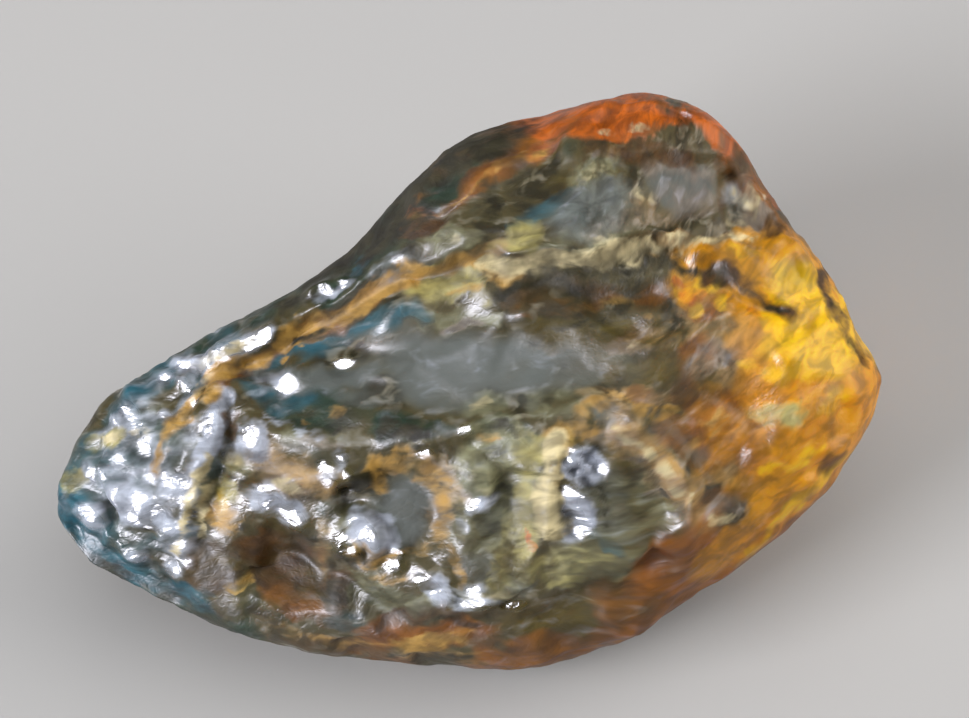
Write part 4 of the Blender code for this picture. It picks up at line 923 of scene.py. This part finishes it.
def shaped(directions):
    """The nugget's skin and the places of its marks, in millimetres, for unit directions.

    The swell, breaks, lumps and fine relief go out from the core line, less the chips, which are
    bowls. The face's own relief goes straight out of it, and the flats are cut last.
    """
    points, lift = body(directions)
    inwards = np.zeros(len(points))
    for centre, radius, depth in CHIPS:
        spread = np.sum((points - centre) ** 2, axis=1) / radius**2
        inwards += depth * np.clip(1.0 - spread, 0.0, 1.0) ** BOWL_POWER
    _, breaks = cells(points / BREAK_SIZE, 71)
    whole = 1.0 - POOL_STILLNESS * in_hollow(points, POOL)
    rise = SWELL_HEIGHT * noise(points / SWELL_SIZE, 11) + BREAK_HEIGHT * breaks * whole
    rise *= 1.0 - RIM_STILLNESS * np.exp(-((lift / RIM_BAND) ** 2))
    knobbly, _ = cells(points / LUMP_SIZE, 37)
    rise += LUMP_HEIGHT * lump_share(points) * (knobbly - LUMP_LEVEL) + fine_relief(points)
    out = outward(points) * (rise - inwards)[:, None]
    out[:, 2] += face_relief(wandered(points)) * smoothstep(0.0, RELIEF_FROM_RIM, lift)
    return with_flats(points + out, points[:, :2], lift), points


# -------------------------------------------------------- the marks


def marked(places, uneven, strokes, patches):
    """How strongly a mark shows at each (a, b): along its strokes and over its patches.

    A stroke falls off by the bell curve of distance over its half-width, which uneven scales. A
    patch is an oval, full inside half its reach and gone at one and a half times it.
    """
    strength = np.zeros(len(places))
    for path, width, most in strokes:
        distance, _, _ = along_path(places, path)
        bell = np.exp(-BELL * (distance / (width * uneven)) ** 2)
        strength = np.maximum(strength, most * bell)
    for a, b, half_length, half_width, tilt, most in patches:
        along, across = over_oval(places, (a, b), half_length, half_width, tilt)
        strength = np.maximum(strength, most * smoothstep(1.5, 0.5, np.hypot(along, across)))
    return strength


def veins(points, size, width, seed):
    """1 on thin wandering sheets through the stone, where a smooth noise passes through 0."""
    return smoothstep(width, 0.0, np.abs(noise(points / size, seed)))


def clouds(points, size, low, high, seed):
    """Soft patches: where a smooth noise rises from low to high."""
    return smoothstep(low, high, noise(points / size, seed))


def varied(points, size, much, least, most, seed):
    """A factor that goes up and down round 1 by a smooth noise, between the least and the most."""
    return np.clip(1.0 + much * noise(points / size, seed), least, most)


def round_back(points):
    """The marks on the underside and flanks, which run on from the face's: the same kinds.

    Each is a strength times the clouds, veins or end of the stone that it keeps to.
    """
    a, b, _ = points.T
    return {
        "ochre": 0.9 * veins(points, 4.2, 0.10, 201) * clouds(points, 6.0, -0.3, 0.2, 207),
        "bone": 0.8 * veins(points, 5.0, 0.05, 211) * clouds(points, 4.0, 0.0, 0.4, 217),
        "teal": np.maximum(smoothstep(-11.0, -14.0, a), 0.6 * clouds(points, 5.0, 0.2, 0.5, 221)),
        "milk_and_sheen": 0.9 * clouds(points, 4.6, 0.15, 0.4, 231),
        "lime": 0.8 * clouds(points, 3.2, 0.45, 0.6, 241),
        "mauve_and_sheen": 0.8 * clouds(points, 3.4, 0.3, 0.5, 291),
        "sage": 0.6 * clouds(points, 2.6, 0.0, 0.4, 295),
        "pearl_and_glint_halo": 0.6 * clouds(points, 3.0, 0.25, 0.5, 299) * smoothstep(-4.0, -9.0, a),
        "honey": honey_end(points),
        "painted_glow": 0.8 * smoothstep(10.0, 13.0, a) * clouds(points, 3.0, -0.1, 0.4, 297),
        "rust": smoothstep(7.5, 9.5, b) * clouds(points, 3.0, -0.3, 0.3, 251),
        "umber": 0.9 * clouds(points, 5.5, 0.0, 0.3, 261),
        "moss_and_shade": 0.8 * clouds(points, 5.0, 0.0, 0.4, 281),
        "olive": 0.8 * clouds(points, 5.0, 0.1, 0.4, 283),
        "tan": 0.7 * clouds(points, 4.0, 0.1, 0.4, 287),
        "toffee": 0.9 * smoothstep(3.0, 9.0, a),
        "murk_and_shade": 0.7 * clouds(points, 3.6, 0.3, 0.5, 271),
    }


def mark_strengths(points):
    """Every mark's strength at each point, from the face's own marks and those of the back.

    Each mark comes and goes by a noise of its own. Where it is weak it is taken below 0, so that
    the grain's flecks can't lift it into sight there. The small flats of the left end and of the
    beads get the pale pearl colour besides, as a painted halo round their highlights.
    """
    places = wandered(points)
    for size, reach in MARK_WANDERS:
        places = places + reach * strays(points, size, 301)
    uneven = varied(points, *UNEVEN, 311)
    on_face = smoothstep(*FACE_MARKS, points[:, 2])
    behind = round_back(points)
    strengths = {}
    for seed, name in enumerate(PATCHES, start=321):
        in_front = marked(places, uneven, STROKES[name], PATCHES[name])
        in_front = in_front * varied(points, *PATCHY, seed)
        strength = behind[name] + on_face * (in_front - behind[name])
        strengths[name] = strength - CLEAN_GAP * smoothstep(CLEAN_BELOW, 0.0, strength)
    left_end, beads = smoothstep(-6.5, -7.5, points[:, 0]), smoothstep(2.4, 2.8, points[:, 0])
    glint_halo = GLINT_HALO_ON_FLATS * np.maximum(left_end, GLINT_HALO_ON_BEADS * beads) * flatness(points)
    strengths["pearl_and_glint_halo"] = np.maximum(strengths["pearl_and_glint_halo"], glint_halo)
    return strengths


def flatness(points):
    """1 on the small flats of the face, and 0 away from them."""
    most = np.zeros(len(points))
    for flat in FLATS:
        most = np.maximum(most, over_flat(points[:, :2], flat)[0] * (points[:, 2] > 0))
    return most


def wetness(points):
    """How wet-looking the skin is: 1 on the small flats, less on the blue third, 0 on the dome."""
    a, b, n = points.T
    blue_third = smoothstep(-5.0, -8.0, a) * smoothstep(4.5, 2.5, b)
    wet = np.where(n > -1.0, WET_BLUE * blue_third * rough_place(points), WET_BEHIND)
    return np.maximum(wet, flatness(points))


def scaliness(points):
    """Where the skin has small scales: over the lumpy places, and a little below the pool."""
    a, b, n = points.T
    below_pool = smoothstep(6.0, 4.0, a) * smoothstep(-0.5, -2.0, b) * smoothstep(-9.0, -8.0, b)
    scaly = np.maximum(lump_share(points), SCALY_BELOW_POOL * below_pool * (n > 0))
    patchy = smoothstep(-0.5, 0.1, noise(points / SCALY_PATCHES, 151))
    return scaly * (1.0 - in_hollow(points, BROWN_HOLLOW)) * patchy * rough_place(points)


def stillness(points):
    """Where the colours and the skin are calm: over the pool and the two grey facets."""
    pool_and_facet = np.maximum(in_hollow(points, POOL), in_hollow(points, GREY_FACET))
    top = TOP_FACET_STILLNESS * in_hollow(points, TOP_FACET)
    return np.sqrt(np.maximum(pool_and_facet, top))


def skin_kinds(points):
    """The skin's three measures at each point, by name."""
    kinds = {"wetness": wetness, "scaliness": scaliness, "stillness": stillness}
    return {name: measure(points) for name, measure in kinds.items()}


# -------------------------------------------------------- the mesh

CREVICE_ROUNDS = 10  # how many times the skin is smoothed to tell its crevices
CREVICE_FROM, CREVICE_TO = 0.03, 0.15  # how deep in millimetres a crevice begins, and is full


def crevices(skin, quads, normals):
    """How much painted shade each point of the closed skin gets for lying in a crevice, from 0 to
    1.

    Every point goes to the mean of its neighbours, over and over. The depth is how far that brings
    the point out along its normal.
    """
    quads = np.asarray(quads)
    start, end = np.concatenate([quads[:, [k, (k + 1) % 4]] for k in range(4)]).T
    neighbours = np.bincount(start, minlength=len(skin))
    smooth = skin
    for _ in range(CREVICE_ROUNDS):
        sums = [np.bincount(start, smooth[end, axis], len(skin)) for axis in range(3)]
        smooth = np.stack(sums, axis=1) / neighbours[:, None]
    depth = np.sum((smooth - skin) * normals, axis=1) / MM
    return smoothstep(CREVICE_FROM, CREVICE_TO, depth)


def cube_sphere(steps):
    """A closed ball of squares: a cube's six grids, with shared edges, pushed out to radius 1.

    The grid lines are spread by the tangent rule, so the squares are all of about one size.
    """
    i, j = (grid.ravel() for grid in np.meshgrid(np.arange(steps), np.arange(steps)))
    corners = np.array([(0, 0), (1, 0), (1, 1), (0, 1)])
    u, v = (start[:, None] + corner for start, corner in zip((i, j), corners.T))
    quads = []
    for axis in range(3):
        for end in (0, steps):
            quad = np.empty((len(i), 4, 3), dtype=np.int64)
            quad[..., axis] = end
            quad[..., (axis + 1) % 3] = u
            quad[..., (axis + 2) % 3] = v
            quads.append(quad if end else quad[:, ::-1])
    lattice = np.concatenate(quads).reshape(-1, 3)
    lattice, index = np.unique(lattice, axis=0, return_inverse=True)
    places = np.tan((lattice / steps * 2.0 - 1.0) * math.pi / 4)
    return places / np.linalg.norm(places, axis=1, keepdims=True), index.reshape(-1, 4)


def crowded(directions, share):
    """Moves the directions towards +Z, so that more of them lie on the face than behind it."""
    z = directions[:, 2]
    new_z = (z + share) / (1.0 + share * z)
    level = np.sqrt((1.0 - new_z**2) / np.maximum(1.0 - z**2, 1e-12))
    return np.stack([directions[:, 0] * level, directions[:, 1] * level, new_z], axis=1)


def standing():
    """The turn and the place that set the face's frame down in the part's frame."""
    turn = Matrix.Rotation(math.radians(FACE_TURN), 4, "Z")
    lean = Matrix.Rotation(math.radians(FACE_LEAN), 4, "X")
    return Matrix.Translation(Vector(FACE_CENTRE) * MM) @ turn @ lean @ Matrix.Scale(MM, 4)


def nugget():
    """The nugget as one closed skin, flat where it rests.

    Its points carry the marks' strengths, the skin's own measures, the crevices' painted shade and
    the grain.
    """
    directions, quads = cube_sphere(GRID_STEPS)
    skin, places = shaped(crowded(directions, FACE_SHARE))
    set_down = np.array(standing())
    skin = skin @ set_down[:3, :3].T + set_down[:3, 3]
    skin[:, 2] = np.maximum(skin[:, 2], 0.0)
    mesh = bpy.data.meshes.new("nugget_skin")
    mesh.from_pydata(skin, [], quads)
    mesh.shade_smooth()
    normals = np.empty(skin.size)
    mesh.vertex_normals.foreach_get("vector", normals)
    kinds = skin_kinds(places)
    # the crevice measure, which the amber turns into painted shade
    kinds["crevice"] = crevices(skin, quads, normals.reshape(skin.shape))
    for name, strength in (mark_strengths(places) | kinds).items():
        mark = mesh.attributes.new(name, "FLOAT", "POINT")
        mark.data.foreach_set("value", strength.astype(np.float32))
    grain = mesh.attributes.new("grain_place", "FLOAT_VECTOR", "POINT")
    grain.data.foreach_set("vector", grain_places(places).astype(np.float32).ravel())
    piece = bpy.data.objects.new("nugget_skin", mesh)
    bpy.context.scene.collection.objects.link(piece)
    return piece


# -------------------------------------------------------- the amber


def fill(tree, socket, value):
    """Links an output to a socket, or sets the socket's own value."""
    if isinstance(value, bpy.types.NodeSocket):
        tree.links.new(value, socket)
    else:
        socket.default_value = value


def put(tree, kind, settings=(), **sockets):
    """Adds a node with its settings, and fills each named socket with a value or an output."""
    node = tree.nodes.new(kind)
    for name, value in dict(settings).items():
        setattr(node, name, value)
    for name, value in sockets.items():
        fill(tree, node.inputs[name], value)
    return node


def mixed(tree, factor, below, above, kind="RGBA"):
    """below where the factor is 0 and above where it is 1, of colours or of numbers."""
    mix = tree.nodes.new("ShaderNodeMix")
    mix.data_type = kind
    first, second, out = (6, 7, 2) if kind == "RGBA" else (2, 3, 0)
    fill(tree, mix.inputs[0], factor)
    fill(tree, mix.inputs[first], below)
    fill(tree, mix.inputs[second], above)
    return mix.outputs[out]


def grain_at(tree, sizes, start):
    """Places through the stone, counted in flecks of these sizes along, across and into it."""
    places = put(tree, "ShaderNodeAttribute", {"attribute_name": "grain_place"}).outputs["Vector"]
    scale = [1.0 / size for size in sizes]
    drawn = put(tree, "ShaderNodeMapping", Vector=places, Scale=scale, Location=[start] * 3)
    return drawn.outputs["Vector"]


def speckle(tree, sizes, detail, start):
    """Swirled noise of 0 to 1 through the stone, with flecks of these sizes."""
    places = grain_at(tree, sizes, start)
    texture = put(
        tree, "ShaderNodeTexNoise", Vector=places, Scale=1.0, Detail=detail, Roughness=0.55,
        Distortion=0.5,
    )
    return texture.outputs["Fac"]


def scales(tree, sizes):
    """Rounded cells like fish scales: 0 at each one's middle, rising by the square to its rim."""
    hearts = put(
        tree,
        "ShaderNodeTexVoronoi",
        {"voronoi_dimensions": "2D", "feature": "F1"},
        Vector=grain_at(tree, sizes, SCALE_START),
        Scale=1.0,
    )
    return number(tree, "MULTIPLY", hearts.outputs["Distance"], hearts.outputs["Distance"])


def number(tree, operation, first, second):
    """One sum on two numbers."""
    maths = tree.nodes.new("ShaderNodeMath")
    maths.operation = operation
    fill(tree, maths.inputs[0], first)
    fill(tree, maths.inputs[1], second)
    return maths.outputs[0]


def rising(tree, value, low, high):
    """0 below low, 1 above high and a smooth rise between."""
    ramp = put(tree, "ShaderNodeMapRange", {"interpolation_type": "SMOOTHSTEP"}, Value=value)
    ramp.inputs["From Min"].default_value = low
    ramp.inputs["From Max"].default_value = high
    return ramp.outputs["Result"]


# What each mark looks like, from the deepest to the one on top: its colour, how clear it is, how
# much rougher it is than what it lies on, how soft its edge is, how far its edge is broken up, and
# by which of the grains.
LOOKS = {
    # dark green crust, and partly painted shade on the upper-left flank
    "moss_and_shade": ((0.022, 0.044, 0.028), 0.25, 0.10, 0.50, 1.7, "coarse"),
    "olive": ((0.125, 0.097, 0.022), 0.50, 0.00, 0.60, 1.8, "flecked"),
    "sage": ((0.235, 0.240, 0.145), 0.25, 0.08, 0.60, 1.8, "flecked"),
    "tan": ((0.320, 0.208, 0.082), 0.25, 0.20, 0.55, 1.8, "flecked"),
    "teal": ((0.024, 0.118, 0.170), 0.30, 0.00, 0.60, 1.3, "coarse"),
    "toffee": ((0.380, 0.130, 0.002), 0.65, 0.04, 0.50, 1.5, "coarse"),
    # grey crust, and partly a painted reflection: the grey sheen over the pool
    "milk_and_sheen": ((0.110, 0.126, 0.120), 0.25, 0.14, 0.55, 1.0, "coarse"),
    # lilac-grey crust, and partly a painted sheen on the top facet and painted faint glints
    "mauve_and_sheen": ((0.215, 0.178, 0.145), 0.25, 0.14, 0.60, 1.4, "flecked"),
    # pale bluish crust, and partly a painted halo round the glints
    "pearl_and_glint_halo": ((0.400, 0.440, 0.540), 0.15, 0.00, 0.50, 1.6, "flecked"),
    "honey": ((0.960, 0.440, 0.004), 0.65, -0.06, 0.70, 0.9, "coarse"),
    # painted glow: the brightest yellow, standing in for light shining through the honey end
    "painted_glow": ((1.000, 0.640, 0.004), 0.50, 0.00, 0.70, 1.0, "flecked"),
    "lime": ((0.310, 0.275, 0.095), 0.20, 0.20, 0.60, 1.8, "flecked"),
    "rust": ((0.570, 0.125, 0.003), 0.45, 0.04, 0.50, 1.4, "flecked"),
    "umber": ((0.085, 0.040, 0.006), 0.40, 0.14, 0.50, 1.6, "coarse"),
    "ochre": ((0.360, 0.212, 0.050), 0.10, 0.22, 0.50, 2.1, "flecked"),
    "bone": ((0.500, 0.430, 0.250), 0.08, 0.26, 0.50, 2.1, "flecked"),
    # dark crust, and partly painted shade under the ledge and on the upper-left flank
    "murk_and_shade": ((0.024, 0.021, 0.009), 0.06, 0.22, 0.50, 1.7, "flecked"),
}
BODY_DARK = (0.040, 0.037, 0.017)
BODY_MIDDLE = (0.116, 0.101, 0.044)
BODY_LIGHT = (0.230, 0.202, 0.106)
BODY_CLEARNESS, DRY_ROUGHNESS, WET_ROUGHNESS = 0.50, 0.42, 0.19
AMBER_IOR, AMBER_SHINE = 1.54, 0.22
ABSORPTION_COLOUR, ABSORPTION_DENSITY = (0.93, 0.72, 0.10), 160.0
# Flecks' sizes in millimetres along, across and into the grain, how many finer layers they have,
# and where each starts, so that no two agree.
GRAINS = {
    "coarse": ((2.0, 1.2, 2.0), 2.0, 0.0),
    "flecked": ((1.0, 0.55, 0.9), 2.0, 11.0),
    "mottled": ((1.1, 0.6, 1.0), 2.0, 23.0),
    "fine": ((0.30, 0.20, 0.30), 1.0, 31.0),
}
# Where in a grain's 0 to 1 the shades go from deep to pale, and the body's next tone takes over.
SHADE_RISE, MIDDLE_RISE, LIGHT_RISE = (0.32, 0.68), (0.34, 0.54), (0.50, 0.70)
SHADE_DEEP, SHADE_PALE = 0.62, 1.38  # each tone goes from this share of itself to that one
SCALE_SIZES, SCALE_START, SCALE_HEIGHT = (0.27, 0.16, 0.27), 7.0, 0.020
GRAIN_BUMP, STILLED = 0.03, 0.7  # the fine grain's height, and the share of it that calm loses
CREVICE_SHADE, CREVICE_SHADE_SHARE = (0.016, 0.013, 0.006), 0.55  # painted shade: the dark colour laid into the crevices, and how much of it


def amber():
    """See-through amber under its crust: each mark is laid over the last, with a broken edge.

    A mark shows where its strength and its grain, added, rise through a half. Painted shade
    darkens the crevices on top of all marks. The bump is the fine grain, less the scales' rims
    where the skin is scaly.
    """
    material = bpy.data.materials.new("amber")
    material.use_nodes = True
    tree = material.node_tree
    shader = tree.nodes["Principled BSDF"]
    grains = {name: speckle(tree, *grain) for name, grain in GRAINS.items()}
    wet, scaly, still, crevice = (
        put(tree, "ShaderNodeAttribute", {"attribute_name": name}).outputs["Fac"]
        for name in ("wetness", "scaliness", "stillness", "crevice")
    )
    shade = rising(tree, grains["mottled"], *SHADE_RISE)
    shade = mixed(tree, still, shade, 0.5, "FLOAT")
    dark, middle, light = ((*tone, 1.0) for tone in (BODY_DARK, BODY_MIDDLE, BODY_LIGHT))
    colour = mixed(tree, rising(tree, grains["coarse"], *MIDDLE_RISE), dark, middle)
    colour = mixed(tree, rising(tree, grains["flecked"], *LIGHT_RISE), colour, light)
    clearness = BODY_CLEARNESS
    roughness = mixed(tree, wet, DRY_ROUGHNESS, WET_ROUGHNESS, "FLOAT")
    for name, (tone, clear, rougher, soft, broken, grain) in LOOKS.items():
        strength = put(tree, "ShaderNodeAttribute", {"attribute_name": name}).outputs["Fac"]
        flecks = number(tree, "MULTIPLY", grains[grain], broken)
        ragged = number(tree, "ADD", flecks, -0.5 * broken)
        share = rising(tree, number(tree, "ADD", strength, ragged), 0.5 - soft, 0.5 + soft)
        deep, pale = ((*(k * c for c in tone), 1.0) for k in (SHADE_DEEP, SHADE_PALE))
        colour = mixed(tree, share, colour, mixed(tree, shade, deep, pale))
        clearness = mixed(tree, share, clearness, clear, "FLOAT")
        if rougher:
            roughness = number(tree, "ADD", roughness, number(tree, "MULTIPLY", share, rougher))
    # painted shade: the crevices' colour is darkened and made less clear
    painted_shade = number(tree, "MULTIPLY", crevice, CREVICE_SHADE_SHARE)
    colour = mixed(tree, painted_shade, colour, (*CREVICE_SHADE, 1.0))
    clearness = mixed(tree, painted_shade, clearness, 0.0, "FLOAT")
    looks = {"Base Color": colour, "Transmission Weight": clearness, "Roughness": roughness}
    for name, value in looks.items():
        fill(tree, shader.inputs[name], value)
    shader.inputs["IOR"].default_value = AMBER_IOR
    shader.inputs["Specular IOR Level"].default_value = AMBER_SHINE
    stilled = number(tree, "MULTIPLY", still, STILLED * GRAIN_BUMP)
    height = number(tree, "SUBTRACT", GRAIN_BUMP, stilled)
    grainy = number(tree, "MULTIPLY", grains["fine"], height)
    sunk = number(tree, "MULTIPLY", scaly, -SCALE_HEIGHT)
    raised = number(tree, "MULTIPLY", scales(tree, SCALE_SIZES), sunk)
    relief = number(tree, "ADD", grainy, raised)
    bump = put(tree, "ShaderNodeBump", Height=relief, Strength=1.0, Distance=MM)
    tree.links.new(bump.outputs["Normal"], shader.inputs["Normal"])
    inside = put(tree, "ShaderNodeVolumeAbsorption", Density=ABSORPTION_DENSITY)
    inside.inputs["Color"].default_value = (*ABSORPTION_COLOUR, 1.0)
    tree.links.new(inside.outputs["Volume"], tree.nodes["Material Output"].inputs["Volume"])
    return material


# -------------------------------------------------------- floor, light and camera

CAMERA_TURN, CAMERA_RISE = FACE_TURN, 90.0 - FACE_LEAN  # square onto the broad face
VIEW_WIDTH = 37.1  # how much of the face's plane the camera takes in, in millimetres
FACE_OFF_CENTRE = (-0.17, -1.0)  # where the face's centre shows, right of and above the middle
CAMERA_LENS, CAMERA_SENSOR, CAMERA_NEAREST = 135.0, 36.0, 0.01
FLOOR_SIZE, FLOOR_DROP = 3.0, 0.00002  # in metres; the floor lies a hair below the resting face
FLOOR_COLOUR, FLOOR_SHINE, FLOOR_ROUGHNESS = (0.38, 0.38, 0.39, 1.0), 0.1, 0.8
SKY_COLOUR, SKY_STRENGTH = (0.88, 0.92, 1.0, 1.0), 0.12
# Square lamps: (name, the way to it in the camera's own axes, distance and size in metres, power,
# colour, whether the gloss mirrors it, whether it lights).
LAMPS = [
    ("key", (-0.75, -0.10, 0.65), 0.40, 0.20, 1.8, (1.0, 0.98, 0.95), False, True),
    ("overhead", (0.1, 0.6, 0.8), 0.45, 0.60, 1.6, (1.0, 0.98, 0.94), False, True),
    ("rim", (0.9, 0.3, 0.2), 0.40, 0.40, 2.2, (1.0, 0.96, 0.90), False, True),
    ("glint", GLINT_WAY, 0.40, 0.11, 6.8, (0.88, 0.88, 1.0), True, False),
]


def camera_axes():
    """The camera's right, up and backward directions."""
    turn, rise = math.radians(CAMERA_TURN), math.radians(CAMERA_RISE)
    level = math.cos(rise)
    back = Vector((math.sin(turn) * level, -math.cos(turn) * level, math.sin(rise)))
    right = Vector((math.cos(turn), math.sin(turn), 0.0))
    return right, back.cross(right), back


def camera():
    """Looks at the face from as far as the lens needs to take in the width of the view."""
    right, up, back = camera_axes()
    off_right, off_up = FACE_OFF_CENTRE
    aim = (Vector(FACE_CENTRE) - right * off_right - up * off_up) * MM
    away = VIEW_WIDTH * MM * CAMERA_LENS / CAMERA_SENSOR
    lens = bpy.data.cameras.new("camera")
    lens.lens, lens.sensor_width = CAMERA_LENS, CAMERA_SENSOR
    lens.clip_start = CAMERA_NEAREST
    thing = bpy.data.objects.new("camera", lens)
    thing.matrix_world = (
        Matrix.Translation(aim + back * away) @ Matrix((right, up, back)).transposed().to_4x4()
    )
    bpy.context.scene.collection.objects.link(thing)
    bpy.context.scene.camera = thing


def softbox(name, towards, distance, size, power, colour, mirrored, lights):
    """A square lamp at its distance from the face, turned to shine straight at it."""
    right, up, back = camera_axes()
    way = (right * towards[0] + up * towards[1] + back * towards[2]).normalized()
    lamp = bpy.data.lights.new(name, "AREA")
    lamp.shape, lamp.size, lamp.energy, lamp.color = "SQUARE", size, power, colour
    thing = bpy.data.objects.new(name, lamp)
    thing.rotation_mode = "QUATERNION"
    thing.rotation_quaternion = way.to_track_quat("Z", "Y")
    thing.location = Vector(FACE_CENTRE) * MM + way * distance
    thing.visible_glossy = mirrored
    thing.visible_diffuse = thing.visible_transmission = lights
    bpy.context.scene.collection.objects.link(thing)


def floor():
    """A level square of plain pale floor, just under the nugget."""
    bpy.ops.mesh.primitive_plane_add(size=FLOOR_SIZE, location=(0.0, 0.0, -FLOOR_DROP))
    plane = bpy.context.object
    plane.name = "floor"
    material = bpy.data.materials.new("pale_floor")
    material.use_nodes = True
    shader = material.node_tree.nodes["Principled BSDF"]
    shader.inputs["Base Color"].default_value = FLOOR_COLOUR
    shader.inputs["Specular IOR Level"].default_value = FLOOR_SHINE
    shader.inputs["Roughness"].default_value = FLOOR_ROUGHNESS
    plane.data.materials.append(material)


def studio():
    """An even dim sky, the lamps, and how many times light may bounce."""
    scene = bpy.context.scene
    world = bpy.data.worlds.new("studio")
    world.use_nodes = True
    backdrop = world.node_tree.nodes["Background"]
    backdrop.inputs["Color"].default_value = SKY_COLOUR
    backdrop.inputs["Strength"].default_value = SKY_STRENGTH
    scene.world = world
    for lamp in LAMPS:
        softbox(*lamp)
    scene.view_settings.view_transform = "Standard"
    scene.cycles.use_denoising = True
    scene.cycles.max_bounces, scene.cycles.transmission_bounces = 8, 8
    scene.cycles.diffuse_bounces, scene.cycles.glossy_bounces = 3, 3
    scene.cycles.sample_clamp_indirect = 4.0


def main():
    """Makes everything, hangs the nugget on the root body with its amber, and hides the solid that
    it dresses.
    """
    camera()
    floor()
    studio()
    piece = nugget()
    piece.data.materials.append(amber())
    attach(piece, "root")
    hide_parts("amber_nugget")


main()
